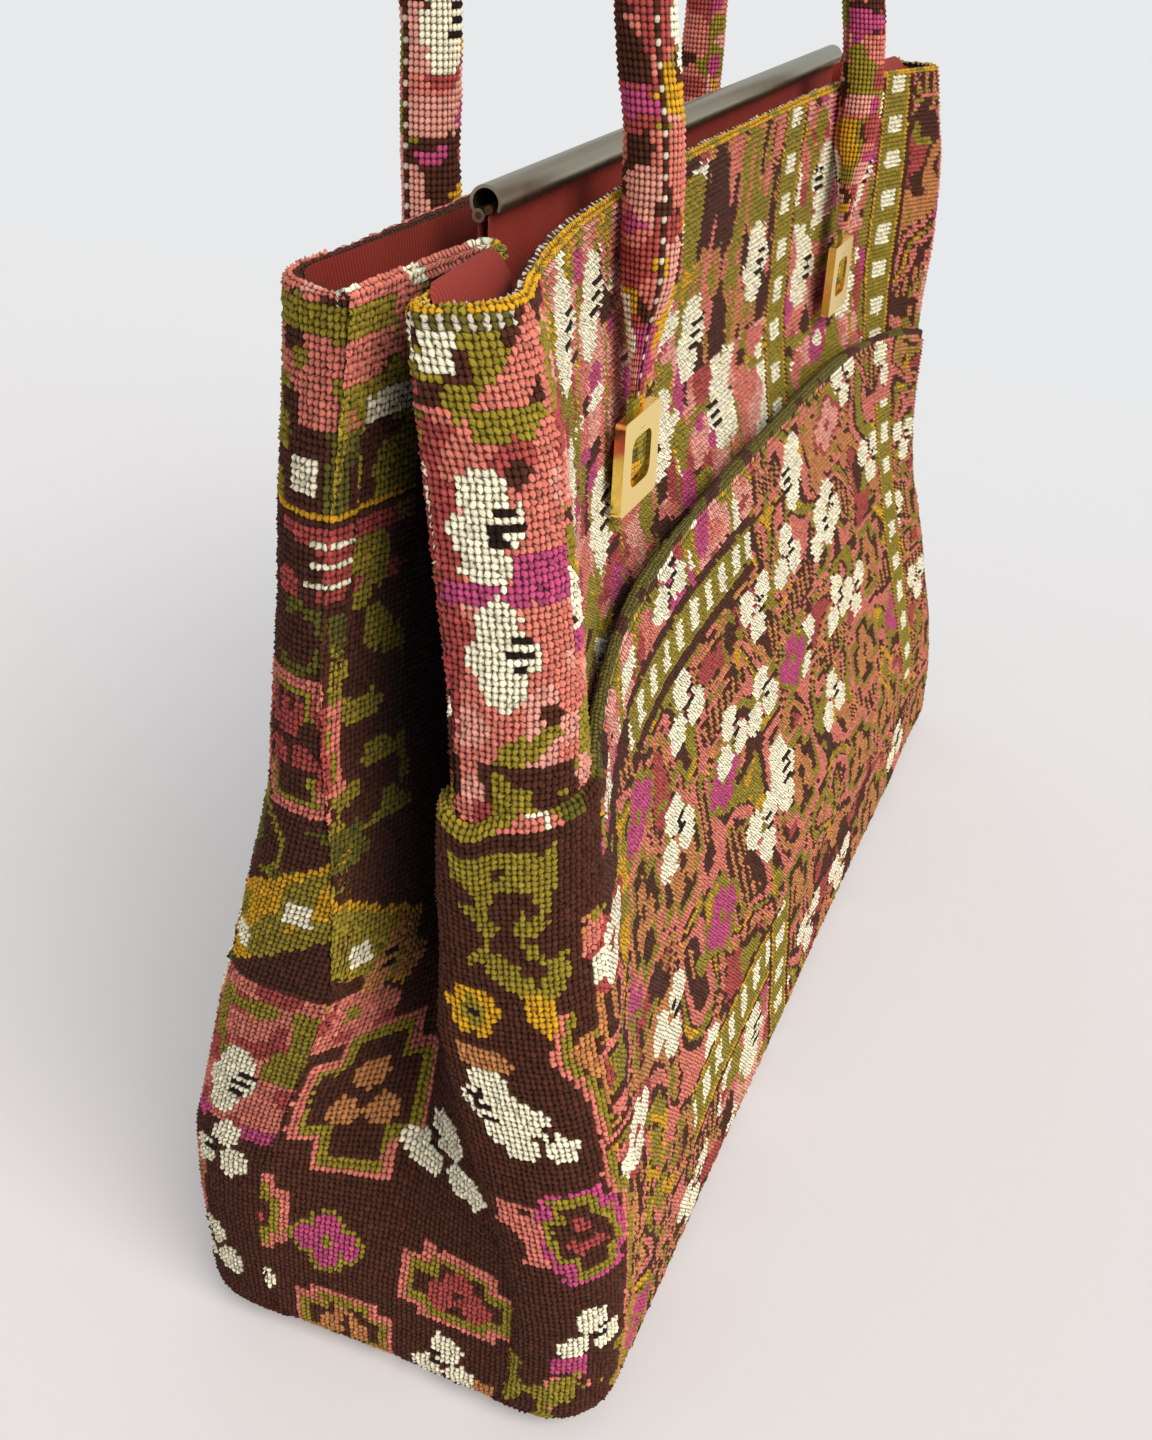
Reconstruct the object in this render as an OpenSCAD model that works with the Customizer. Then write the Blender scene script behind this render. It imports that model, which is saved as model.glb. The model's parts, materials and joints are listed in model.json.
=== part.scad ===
// Soft tapestry handbag with a closed centre pouch between two open compartments,
// paper-bag gussets, a wrap-round front pocket and two rolled handles.
// Millimetres, +Z up, +X along the handles, front towards -Y, origin in the middle of the base.

/* [Bag] */
// Length over the two ends at the mouth
bag_length = 392; // [340:1:440]
// Height of the wall at the end corners
bag_height = 270; // [240:1:310]
// Rise of the top edge in the middle above the corners
arch_rise = 7; // [2:0.5:14]
// Depth of the bag at its base
bag_depth = 112; // [96:1:130]
// Radius of the upright corners
corner_radius = 10; // [7:0.5:11]
// Radius of the soft edge round the base
base_edge_radius = 8; // [6:0.5:12]

/* [Cloth] */
// Thickness of the loop-pile tapestry
cloth = 3; // [2:0.1:3.4]
// Depth of the band turned in along the mouth
hem_depth = 18; // [10:1:24]
// Thickness of the lining cloth
lining = 0.8; // [0.5:0.1:1.2]
// Thickness of the base board
board = 2; // [1:0.1:3]

/* [Gusset] */
// Depth of the inward fold at the mouth
fold_depth = 46; // [36:1:54]
// Half width of the fold's blunt inner edge
fold_nose = 0.8; // [0.5:0.1:1.5]

/* [Pocket] */
// Height of the pocket's lip at the two ends
pocket_end_height = 172; // [150:1:185]
// Height of the pocket's lip in the middle
pocket_mid_height = 188; // [165:1:205]
// How far the pocket's lip stands off the front panel
pocket_gape = 8; // [6:0.5:12]

/* [Closure] */
// Outer diameter of the slotted tube
tube_diameter = 7; // [6.5:0.1:9]
// Wall of the slotted tube
tube_wall = 0.7; // [0.5:0.05:0.9]
// Length of the slotted tube
tube_length = 280; // [240:1:300]
// Height of the tube's axis above the corners of the mouth
tube_rise = 5; // [4:0.5:10]
// How far the tube lies behind the middle of the base
tube_setback = 6; // [5:0.5:9]
// Diameter of the wire that the tube turns on
wire_diameter = 1.3; // [1:0.1:1.5]
// Diameter of the rod in the front edge of the pouch
rod_diameter = 1.8; // [1.4:0.1:2]

/* [Handles] */
// Distance between the two legs of a handle
leg_spacing = 196; // [160:1:230]
// Thickness of the rolled handle
handle_diameter = 13; // [10:0.5:14]
// Height of the straight legs above the corners of the mouth
leg_rise = 52; // [40:1:80]
// Height of the bow above the straight legs
bow_height = 92; // [70:1:110]
// Width of the flattened handle end
tab_width = 12; // [10:0.5:14]
// Thickness of the sewn-down handle end
tab_thickness = 2; // [1.5:0.1:2.4]
// Thickness of the flat stretch above the ring
tongue_thickness = 2.2; // [1.6:0.1:2.6]

/* [Rings] */
// Width of a brass ring
ring_width = 24; // [20:0.5:28]
// Height of a brass ring
ring_height = 23; // [18:0.5:26]
// Width of a ring's bars
ring_bar = 5.5; // [4:0.25:6]
// Thickness of a ring
ring_thickness = 2.6; // [1.8:0.1:3]
// Height of the ring's middle above the base
ring_level = 212; // [205:1:220]

/* [Hidden] */

// Gap between cloth layers and between pieces that move past each other
clearance = 0.3;
// How far a cut runs past the face that it opens
overrun = 1;
// Running gap between the hinge wire and the tube's curled lip
hinge_clearance = 0.05;
// Smoothness of the true round parts
round_steps = 48;

half_length = bag_length / 2;
half_depth = bag_depth / 2;
wall_height = bag_height - cloth;
base_thickness = cloth;
front = -1;
back = 1;

// Half depths of the front and back walls, as shares of half the bag's depth against the share of height
front_end_shares = [[0, 0.945], [0.2, 0.9], [0.32, 0.87], [0.5, 0.76], [0.65, 0.68], [0.76, 0.63],
                    [0.89, 0.54], [1, 0.39]];
front_mid_shares = [[0, 0.945], [0.2, 0.83], [0.375, 0.58], [0.59, 0.28], [0.76, 0.12], [0.89, 0.1], [1, 0.11]];
back_end_shares = [[0, 1], [0.2, 1.06], [0.375, 0.88], [0.59, 0.61], [0.77, 0.51], [0.92, 0.45], [1, 0.42]];
back_mid_shares = [[0, 1], [0.2, 1.03], [0.375, 0.84], [0.59, 0.7], [0.78, 0.61], [1, 0.54]];
// Half spacing of the two gusset ridges, as shares of half the bag's depth
ridge_shares = [[0, 0.51], [0.05, 0.61], [0.14, 0.64], [0.2, 0.59], [0.25, 0.51], [0.32, 0.39], [0.42, 0.25],
                [0.55, 0.23], [0.65, 0.26], [0.73, 0.24], [0.87, 0.16], [1, 0.085]];
// Reach of the two ends, as shares of half the bag's length: fuller towards the base
end_shares = [[0, 1.03], [0.14, 1.03], [0.32, 1.012], [0.5, 1], [1, 1]];
// Depth of the inward fold, as shares of its depth at the mouth
fold_shares = [[0, 0.01], [0.1, 0.03], [0.2, 0.18], [0.32, 0.5], [0.45, 0.8], [0.6, 0.93], [0.8, 1], [1, 1]];
// Half spacing of the centre pouch's walls, as shares of half the bag's depth
pouch_shares = [[0, 0.37], [0.25, 0.32], [0.4, 0.19], [0.6, 0.065], [0.8, 0.032], [1, 0.028]];

// Heights at which the walls, gussets, linings and pocket have their rows of points, as shares
wall_level_shares = [0, 0.012, 0.03, 0.055, 0.12, 0.2, 0.26, 0.32, 0.42, 0.5, 0.59, 0.65, 0.73, 0.8, 0.88, 1];
twist_level_shares = [0.2, 0.23, 0.26, 0.29, 0.32, 0.37, 0.42];
gusset_level_shares = concat([for (v = wall_level_shares) if (v < twist_level_shares[0]) v], twist_level_shares,
                             [for (v = wall_level_shares) if (v > max(twist_level_shares)) v]);
lining_level_shares = concat([0.055, 0.12], twist_level_shares, [0.5, 0.59, 0.73, 0.8, 0.88]);
pocket_top_share = (pocket_end_height - base_thickness) / (wall_height + arch_rise);
pocket_level_shares = [for (v = wall_level_shares) if (v < pocket_top_share) v];

// Places along a wall's plan: gusset face, corner arc and long face, from the left ridge to the right
face_shares = [0, 0.5];
arc_angles = [0, 30, 60, 90];
span_shares = [-0.93, -0.85, -0.72, -0.52, -0.26, 0, 0.26, 0.52, 0.72, 0.85, 0.93];
stations = concat(
    [for (f = face_shares) [-1, "face", f]],
    [for (a = arc_angles) [-1, "arc", a]],
    [for (u = span_shares) [0, "span", u]],
    [for (i = [len(arc_angles) - 1:-1:0]) [1, "arc", arc_angles[i]]],
    [for (i = [len(face_shares) - 1:-1:0]) [1, "face", face_shares[i]]]);
// How sharply a wall's bow gathers towards its two ends
flare_power = 4;

function lerp(a, b, t) = a + (b - a) * t;
function smooth(t) = let (c = min(max(t, 0), 1)) c * c * (3 - 2 * c);

// Inset of the soft edge round the base at the share v of the wall's height
function edge_inset(v) =
    let (z = base_thickness + v * wall_height, r = base_edge_radius)
    z >= r ? 0 : r - sqrt(r * r - (r - z) * (r - z));
function end_half(side, v) =
    half_depth * lookup(v, side == front ? front_end_shares : back_end_shares) - edge_inset(v);
function mid_half(side, v) =
    half_depth * lookup(v, side == front ? front_mid_shares : back_mid_shares) - edge_inset(v);
function face_half(side, v, u) = lerp(mid_half(side, v), end_half(side, v), pow(abs(u), flare_power));
function end_x(v) = half_length * lookup(v, end_shares) - edge_inset(v);
function ridge_half(v) = half_depth * lookup(v, ridge_shares) - edge_inset(v) / 2;
function fold(v) = fold_depth * lookup(v, fold_shares);
// Tangent of half the angle that the cloth turns through at a ridge
function ridge_turn(v) = tan(atan2(fold(v), ridge_half(v) - fold_nose) / 2);

// Height of the mouth's edge and of the pocket's lip above a place along the bag
function mouth_z(x) = bag_height + arch_rise * (1 - pow(min(abs(x) / half_length, 1), 2));
function pocket_z(x) = lerp(pocket_mid_height, pocket_end_height, pow(min(abs(x) / half_length, 1), flare_power));
function station_x(s) =
    s[1] == "span" ? s[2] * (half_length - corner_radius)
    : s[0] * (half_length - corner_radius * (s[1] == "arc" ? 1 - cos(s[2]) : 0));
function share_at(x, z) = (z - base_thickness) / (mouth_z(x) - base_thickness);
function level_z(x, v) = base_thickness + v * (mouth_z(x) - base_thickness);

// A point of a wall's plan, inset from its outer face, with the long face bulged outwards
function wall_plan(side, s, v, inset, bulge = 0) =
    let (x = end_x(v), e = end_half(side, v), r = corner_radius)
    s[1] == "face" ? [s[0] * (x - inset), side * lerp(ridge_half(v) + inset * ridge_turn(v), e - r, s[2])]
    : s[1] == "arc" ? [s[0] * (x - r + (r - inset) * cos(s[2])), side * (e - r + (r - inset) * sin(s[2]))]
    : [s[2] * (x - r), side * (face_half(side, v, s[2]) - inset + bulge * (1 - pow(s[2], flare_power)))];
function wall_point(side, s, z, inset, bulge = 0) =
    let (p = wall_plan(side, s, share_at(station_x(s), z), inset, bulge)) [p[0], p[1], z];

// A closed sheet between an outer and an inner grid of points, each a list of rows
module sheet(outer, inner, flipped = false) {
    rows = len(outer);
    cols = len(outer[0]);
    total = rows * cols;
    quads = concat(
        [for (i = [0:rows - 2], j = [0:cols - 2])
            [i * cols + j, (i + 1) * cols + j, (i + 1) * cols + j + 1, i * cols + j + 1]],
        [for (i = [0:rows - 2], j = [0:cols - 2])
            [total + i * cols + j, total + i * cols + j + 1, total + (i + 1) * cols + j + 1, total + (i + 1) * cols + j]],
        [for (j = [0:cols - 2]) [j, j + 1, total + j + 1, total + j]],
        [for (j = [0:cols - 2]) let (k = (rows - 1) * cols + j) [k, total + k, total + k + 1, k + 1]],
        [for (i = [0:rows - 2]) let (k = i * cols) [k, total + k, total + k + cols, k + cols]],
        [for (i = [0:rows - 2]) let (k = i * cols + cols - 1) [k, k + cols, total + k + cols, total + k]]);
    triangles = [for (q = quads) each [[q[0], q[1], q[2]], [q[0], q[2], q[3]]]];
    polyhedron(
        points = concat([for (row = outer) each row], [for (row = inner) each row]),
        faces = flipped ? [for (t = triangles) [t[2], t[1], t[0]]] : triangles);
}

// A tapestry wall with its band turned in along the mouth
module wall(side) {
    hem_share = 1 - hem_depth / bag_height;
    levels = concat([for (v = wall_level_shares) if (v < hem_share) v], [hem_share, hem_share, 1]);
    steps = len(levels);
    outer = [for (v = levels) [for (s = stations) wall_point(side, s, level_z(station_x(s), v), 0)]];
    inner = [for (i = [0:steps - 1]) [for (s = stations)
        wall_point(side, s, level_z(station_x(s), levels[i]), i > steps - 3 ? 2 * cloth : cloth)]];
    sheet([for (i = [0:steps - 1]) if (i != steps - 2) outer[i]],
          [for (i = [0:steps - 1]) if (i != steps - 2) inner[i]], side == back);
}

// Plan of a gusset at the share v, at the inset from its outer face, from the front ridge to the back
fold_place_shares = [0, 0.25, 0.5, 0.75, 1];
function fold_point(v, inset, f) =
    let (turn = inset * ridge_turn(v))
    [end_x(v) - inset - f * fold(v), lerp(ridge_half(v), fold_nose, f) + turn];
function gusset_plan(v, inset) =
    let (walls = [for (f = fold_place_shares) fold_point(v, inset, f)])
    concat([for (p = walls) [p[0], -p[1]]], [for (i = [len(walls) - 1:-1:0]) walls[i]]);
function gusset_z(v) = base_thickness + v * wall_height;
// How far the gusset's inner side reaches at the depth y
function gusset_x(v, inset, y) =
    let (ridge = fold_point(v, inset, 0), nose = fold_point(v, inset, 1))
    lerp(nose[0], ridge[0], min(max((abs(y) - nose[1]) / (ridge[1] - nose[1]), 0), 1));

module gusset(end) {
    outer = [for (v = gusset_level_shares) [for (p = gusset_plan(v, 0)) [end * p[0], p[1], gusset_z(v)]]];
    inner = [for (v = gusset_level_shares) [for (p = gusset_plan(v, cloth)) [end * p[0], p[1], gusset_z(v)]]];
    color("saddlebrown") sheet(outer, inner, end < 0);
}

module rounded_plate(width, depth, radius, thickness) {
    linear_extrude(thickness) {
        square([width - 2 * radius, depth], center = true);
        square([width, depth - 2 * radius], center = true);
        for (x = [-1, 1], y = [-1, 1])
            translate([x * (width / 2 - radius), y * (depth / 2 - radius)]) circle(radius, $fn = round_steps);
    }
}

module front_panel() {
    color("sienna") wall(front);
}

module back_panel() {
    color("sienna") wall(back);
}

base_front = end_half(front, 0);
base_back = end_half(back, 0);

module base_panel() {
    color("saddlebrown") translate([0, (base_back - base_front) / 2, 0])
        rounded_plate(2 * end_x(0), base_front + base_back, corner_radius, base_thickness);
}

module base_board() {
    margin = cloth + lining + 3 * clearance;
    color("burlywood") translate([0, (base_back - base_front) / 2, base_thickness])
        rounded_plate(2 * (end_x(0) - margin), base_front + base_back - 2 * margin, corner_radius - margin, board);
}

// The pocket lies close to the front at its foot and ends and stands off it at the lip
module front_pocket() {
    foot = base_thickness + clearance;
    function gape(x, z) = pocket_gape * smooth((z - foot) / (pocket_z(x) - foot));
    function pocket_point(s, z, inset) = wall_point(front, s, z, inset, gape(station_x(s), z));
    function row(v, inset) = [for (s = stations) pocket_point(s, max(level_z(station_x(s), v), foot), inset)];
    function lip(inset) = [for (s = stations) pocket_point(s, pocket_z(station_x(s)), inset)];
    outer = concat([for (v = pocket_level_shares) row(v, -clearance - cloth)], [lip(-clearance - cloth)]);
    inner = concat([for (v = pocket_level_shares) row(v, -clearance)], [lip(-clearance)]);
    color("peru") sheet(outer, inner);
}

// A compartment's lining, from one fold round the wall to the other, slack where the fold twists
fold_slack = 3 * clearance;
lining_place_shares = [0.75, 0.5, 0.25];
function levels_between(shares, low, high) = concat([low], [for (v = shares) if (v > low && v < high) v], [high]);
function lining_row(side, v, inset) =
    let (folds = [for (f = lining_place_shares) fold_point(v, inset + fold_slack, f)], z = gusset_z(v))
    concat([for (p = folds) [-p[0], side * p[1], z]],
           [for (s = stations)
               let (q = wall_plan(side, s, v, inset + (s[1] == "face" ? fold_slack : 0))) [q[0], q[1], z]],
           [for (i = [len(folds) - 1:-1:0]) [folds[i][0], side * folds[i][1], z]]);

module compartment_lining(side) {
    foot_share = (board + clearance) / wall_height;
    top_share = 1 - (hem_depth + arch_rise) / bag_height;
    levels = levels_between(lining_level_shares, foot_share, top_share);
    outer = [for (v = levels) lining_row(side, v, cloth + clearance)];
    inner = [for (v = levels) lining_row(side, v, cloth + clearance + lining)];
    color("firebrick") sheet(outer, inner, side == back);
}

module front_lining() {
    compartment_lining(front);
}

module back_lining() {
    compartment_lining(back);
}

// The slotted tube: axis, hinge wire at the back lip, rod in front of it, all along X
tube_radius = tube_diameter / 2;
tube_z = bag_height + tube_rise;
wire_radius = wire_diameter / 2;
eye_radius = wire_radius + hinge_clearance + tube_wall;
lip_angle = -60;
slot_angle = 90;
hinge_orbit = tube_radius - tube_wall / 2;
hinge_y = tube_setback + hinge_orbit * cos(lip_angle);
hinge_z = tube_z + hinge_orbit * sin(lip_angle);
rod_drop_share = 0.4;
rod_lead_share = 0.175;
rod_y = tube_setback - tube_radius * rod_lead_share;
rod_z = tube_z - tube_radius * rod_drop_share;

module along_x(length) {
    rotate([90, 0, 90]) translate([0, 0, -length / 2]) linear_extrude(length) children();
}

module closure_tube() {
    reach = 2 * tube_diameter;
    color("darkkhaki") difference() {
        union() {
            along_x(tube_length) translate([tube_setback, tube_z]) difference() {
                circle(tube_radius, $fn = round_steps);
                circle(tube_radius - tube_wall, $fn = round_steps);
                polygon([[0, 0], reach * [cos(lip_angle), sin(lip_angle)],
                         reach * [cos(lip_angle - slot_angle / 2), sin(lip_angle - slot_angle / 2)],
                         reach * [cos(lip_angle - slot_angle), sin(lip_angle - slot_angle)]]);
            }
            along_x(tube_length) translate([hinge_y, hinge_z]) circle(eye_radius, $fn = round_steps);
        }
        along_x(tube_length + 2 * overrun)
            translate([hinge_y, hinge_z]) circle(wire_radius + hinge_clearance, $fn = round_steps);
    }
}

module hinge_wire() {
    color("gray") along_x(tube_length) translate([hinge_y, hinge_z]) circle(wire_radius, $fn = round_steps);
}

module front_rod() {
    color("tan") along_x(tube_length) translate([rod_y, rod_z]) circle(rod_diameter / 2, $fn = round_steps);
}

// A wall of the centre pouch, hung from its rod or wire and spreading towards the base
pouch_span_shares = [-1, -0.8, -0.4, 0, 0.4, 0.8, 1];
module pouch_wall(side, top_y, top_z) {
    inset = cloth + lining + 3 * clearance + fold_slack;
    foot_share = (board + clearance) / wall_height;
    top_share = (bag_height - hem_depth - base_thickness) / wall_height;
    levels = levels_between(wall_level_shares, foot_share, top_share);
    function wall_y(v) = tube_setback * v + side * half_depth * lookup(v, pouch_shares);
    function row(v, offset) = [for (u = pouch_span_shares)
        [u * (gusset_x(v, inset, wall_y(v)) - inset), wall_y(v) + offset, gusset_z(v)]];
    function edge(offset) = [for (u = pouch_span_shares) [u * tube_length / 2, top_y + offset, top_z]];
    color("brown") sheet(concat([for (v = levels) row(v, -lining / 2)], [edge(-lining / 2)]),
                         concat([for (v = levels) row(v, lining / 2)], [edge(lining / 2)]));
}

module pouch_front_wall() {
    pouch_wall(front, rod_y, rod_z - rod_diameter / 2 - clearance);
}

module pouch_back_wall() {
    pouch_wall(back, hinge_y, hinge_z - eye_radius - clearance);
}

// Handles: a flat end sewn behind each ring, and a bow that turns out and down above it
leg_x = leg_spacing / 2;
handle_radius = handle_diameter / 2;
ring_share = share_at(leg_x, ring_level);
leg_share = leg_x / (half_length - corner_radius);
function wall_out(side, z) = face_half(side, share_at(leg_x, min(z, mouth_z(leg_x))), leg_share);
ring_top = ring_level + ring_height / 2;
knuckle_radius = tab_thickness / 2;
pivot_z = ring_top + ring_thickness + knuckle_radius + clearance;
function ring_out(side) = max(wall_out(side, ring_level - ring_height / 2), wall_out(side, ring_top));
function tab_out(side) = ring_out(side) + clearance;
function pivot_out(side) = tab_out(side) + tab_thickness + clearance + ring_thickness / 2;

module tab(side, end) {
    foot = ring_level - ring_height / 2 + ring_bar;
    neck = pivot_out(side) - tab_out(side);
    color("olivedrab") translate([end * leg_x - tab_width / 2, 0, 0]) {
        translate([0, side == front ? -tab_out(side) - tab_thickness : tab_out(side), foot])
            cube([tab_width, tab_thickness, pivot_z - foot]);
        translate([0, side == front ? -pivot_out(side) : tab_out(side), pivot_z - knuckle_radius])
            cube([tab_width, neck, 2 * knuckle_radius]);
        translate([0, side * pivot_out(side), pivot_z]) rotate([0, 90, 0])
            cylinder(r = knuckle_radius, h = tab_width, $fn = round_steps);
    }
}

module ring(side, end) {
    window_radius = ring_bar / 2;
    seat = tab_out(side) + tab_thickness + clearance;
    color("gold") translate([end * leg_x, side == front ? -seat : seat + ring_thickness, ring_level])
        rotate([90, 0, 0]) difference() {
            rounded_plate(ring_width, ring_height, window_radius / 2, ring_thickness);
            translate([0, 0, -overrun])
                rounded_plate(ring_width - 2 * ring_bar, ring_height - 2 * ring_bar, window_radius,
                              ring_thickness + 2 * overrun);
        }
}

// A handle's route: rows of place, heading in the XZ plane, half width and half thickness
flat_end_shares = [[0, 0], [0.2, 0], [0.45, 0.06], [0.7, 0.5], [0.9, 0.9], [1, 1]];
flat_run = 2.2 * handle_diameter;
bow_steps = 14;
leg_top = bag_height + leg_rise;
lean_in_share = 0.45;
function leg_out(side, z) =
    let (along = (z - pivot_z) / flat_run, beside = wall_out(side, z) + 2 * clearance + handle_radius)
    lerp(pivot_out(side), max(beside, pivot_out(side)), smooth(along));
function handle_out(side, z) =
    let (foot = mouth_z(leg_x), out = leg_out(side, min(z, foot)))
    out - (side == front ? 1 : 0) * lean_in_share * handle_diameter * smooth((z - foot) / leg_rise);
function handle_place(side, s) =
    let (z = s[1]) [s[0], side * handle_out(side, z), z, s[2],
        lerp(tab_width / 2, handle_radius, lookup((z - pivot_z) / flat_run, flat_end_shares)),
        lerp(tongue_thickness / 2, handle_radius, lookup((z - pivot_z) / flat_run, flat_end_shares))];
leg_heights = concat([for (f = flat_end_shares) pivot_z + knuckle_radius + clearance + f[0] * flat_run],
                     [for (f = [0.5, 0.8]) lerp(pivot_z + flat_run, leg_top, f)]);
handle_route = concat(
    [for (z = leg_heights) [-leg_x, z, 90]],
    [for (i = [0:bow_steps]) let (a = 180 - 180 * i / bow_steps)
        [leg_x * cos(a), leg_top + bow_height * sin(a), atan2(bow_height * -cos(a), leg_x * sin(a))]],
    [for (i = [len(leg_heights) - 1:-1:0]) [leg_x, leg_heights[i], -90]]);
handle_sides = 12;

module handle(side) {
    rows = [for (s = handle_route) handle_place(side, s)];
    count = len(rows);
    points = [for (p = rows) each [for (k = [0:handle_sides - 1]) let (a = 360 * k / handle_sides)
        [p[0] - p[4] * cos(a) * sin(p[3]), p[1] + p[5] * sin(a), p[2] + p[4] * cos(a) * cos(p[3])]]];
    skin = [for (i = [0:count - 2], k = [0:handle_sides - 1])
        let (m = (k + 1) % handle_sides, b = i * handle_sides, t = b + handle_sides)
        each [[b + k, b + m, t + m], [b + k, t + m, t + k]]];
    ends = [[for (k = [handle_sides - 1:-1:0]) k],
            [for (k = [0:handle_sides - 1]) (count - 1) * handle_sides + k]];
    color("indianred") polyhedron(points = points, faces = concat(skin, ends));
}

front_panel();
back_panel();
gusset(-1);  // left_gusset
gusset(1);  // right_gusset
base_panel();
base_board();
front_pocket();
front_lining();
back_lining();
pouch_front_wall();
pouch_back_wall();
closure_tube();
hinge_wire();
front_rod();
handle(front);  // front_handle
handle(back);  // back_handle
tab(front, -1);  // front_left_tab
tab(front, 1);  // front_right_tab
tab(back, -1);  // back_left_tab
tab(back, 1);  // back_right_tab
ring(front, -1);  // front_left_ring
ring(front, 1);  // front_right_ring
ring(back, -1);  // back_left_ring
ring(back, 1);  // back_right_ring
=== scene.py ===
# %% [markdown]
# # A soft tapestry handbag
# The packed CAD part is the frame: it gives the sizes, the metal pieces and the bodies that move. This
# script lays loop-pile cloth over it, one loop at a time, lines it in red twill, and lights it as a small
# studio set. Lengths are millimetres until a mesh is made; Blender gets metres.

# %% frame
import json
import math

import bpy
import numpy as np
from mathutils import Matrix, Vector


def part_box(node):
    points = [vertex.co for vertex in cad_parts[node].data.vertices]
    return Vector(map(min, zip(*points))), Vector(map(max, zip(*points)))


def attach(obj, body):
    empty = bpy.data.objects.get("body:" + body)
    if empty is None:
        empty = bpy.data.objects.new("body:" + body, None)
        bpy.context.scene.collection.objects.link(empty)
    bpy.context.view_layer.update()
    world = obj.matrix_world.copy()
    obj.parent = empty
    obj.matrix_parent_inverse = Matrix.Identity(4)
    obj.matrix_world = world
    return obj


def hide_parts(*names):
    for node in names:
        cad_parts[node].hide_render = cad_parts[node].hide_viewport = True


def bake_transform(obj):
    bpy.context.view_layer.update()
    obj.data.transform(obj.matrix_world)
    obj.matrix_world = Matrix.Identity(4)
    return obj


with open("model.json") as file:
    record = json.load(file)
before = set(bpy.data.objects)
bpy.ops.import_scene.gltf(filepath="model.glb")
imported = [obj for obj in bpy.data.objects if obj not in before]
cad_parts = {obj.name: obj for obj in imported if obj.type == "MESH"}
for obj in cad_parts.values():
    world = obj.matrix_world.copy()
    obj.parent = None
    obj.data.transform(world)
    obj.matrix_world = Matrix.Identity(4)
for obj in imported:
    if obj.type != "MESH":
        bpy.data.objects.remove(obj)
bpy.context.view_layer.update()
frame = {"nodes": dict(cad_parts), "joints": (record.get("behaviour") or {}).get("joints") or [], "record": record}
MM = 0.001
FRONT, BACK = -1, 1
LEFT, RIGHT = -1, 1

# %% [markdown]
# ## Shape of the bag
# The real bag is a soft box whose ends fold in like a paper bag's. It could be sculpted, or draped by a
# cloth simulation, but a few curves give the same hang every time and are easy to change. They follow the
# curves of the CAD solids: half depths of the walls, ridges of the gussets and depths of their folds,
# each as a share of the bag's size against the share of its height.

# %% sizes
wall_low, wall_high = (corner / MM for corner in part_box("front_panel"))
HALF_LENGTH, HALF_DEPTH = 196.0, 56.0
BAG_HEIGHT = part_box("left_gusset")[1].z / MM
ARCH_RISE = wall_high.z - BAG_HEIGHT
CLOTH = wall_low.z
WALL_HEIGHT = BAG_HEIGHT - CLOTH
CORNER_RADIUS, EDGE_RADIUS = 15.0, 10.5
FOLD_DEPTH, FOLD_NOSE = 46.0, 0.8
POCKET_END, POCKET_MID, POCKET_GAPE = 172.0, 188.0, 8.0
CLEARANCE = 0.3
HEM_DEPTH = 18.0
FLARE = 4

FRONT_END = [(0, 1), (.2, .95), (.32, .89), (.5, .76), (.65, .68), (.76, .63), (.89, .54), (1, .39)]
FRONT_MID = [(0, 1), (.2, .86), (.375, .58), (.59, .28), (.76, .12), (.89, .1), (1, .11)]
BACK_END = [(0, 1), (.2, 1.06), (.375, .88), (.59, .61), (.77, .52), (.92, .48), (1, .46)]
BACK_MID = [(0, 1), (.2, 1.03), (.375, .84), (.59, .7), (.78, .6), (.9, .53), (1, .45)]
RIDGE = [(0, .51), (.05, .61), (.14, .64), (.2, .59), (.25, .51), (.32, .39), (.42, .25),
         (.55, .23), (.65, .26), (.73, .24), (.87, .16), (1, .085)]
FOLD = [(0, .01), (.1, .03), (.2, .18), (.32, .5), (.45, .8), (.6, .93), (.8, 1), (1, 1)]
REACH = [(0, 1.03), (.14, 1.03), (.32, 1.012), (.5, 1), (1, 1)]
POUCH = [(0, .37), (.25, .32), (.4, .19), (.6, .065), (.8, .032), (1, .028)]
# The soft front sinks in a little at the far end, and the back's rim lies flatter than the front's.
FAR_SINK = [(0, -.02), (.2, .05), (.42, .19), (.55, .16), (.65, .12), (.8, .06), (1, -.04)]
FRONT_RISE, BACK_RISE = ARCH_RISE / 4, 0.0


def look(table, v):
    return np.interp(v, *zip(*table))


def lerp(a, b, t):
    return a + (b - a) * t


def smooth(t):
    t = np.clip(t, 0, 1)
    return t * t * (3 - 2 * t)


def edge_inset(v):
    """How far the soft edge round the base draws the wall in."""
    short = np.clip(EDGE_RADIUS - CLOTH - v * WALL_HEIGHT, 0, None)
    return EDGE_RADIUS - np.sqrt(EDGE_RADIUS ** 2 - short ** 2)


def end_x(v):
    return HALF_LENGTH * look(REACH, v) - edge_inset(v)


def end_half(side, v, end=LEFT):
    sunk = look(FAR_SINK, v) if side == FRONT and end == RIGHT else 0
    return HALF_DEPTH * (look(FRONT_END if side == FRONT else BACK_END, v) - sunk) - edge_inset(v)


def mid_half(side, v):
    return HALF_DEPTH * look(FRONT_MID if side == FRONT else BACK_MID, v) - edge_inset(v)


def ridge_half(v):
    return HALF_DEPTH * look(RIDGE, v) - edge_inset(v) / 2


def fold(v):
    return FOLD_DEPTH * look(FOLD, v)


def mouth_z(side, x):
    rise = FRONT_RISE if side == FRONT else BACK_RISE
    return BAG_HEIGHT + rise * (1 - np.minimum(np.abs(x) / HALF_LENGTH, 1) ** 2)


def pocket_z(x):
    return lerp(POCKET_MID, POCKET_END, np.minimum(np.abs(x) / HALF_LENGTH, 1) ** FLARE)


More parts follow.
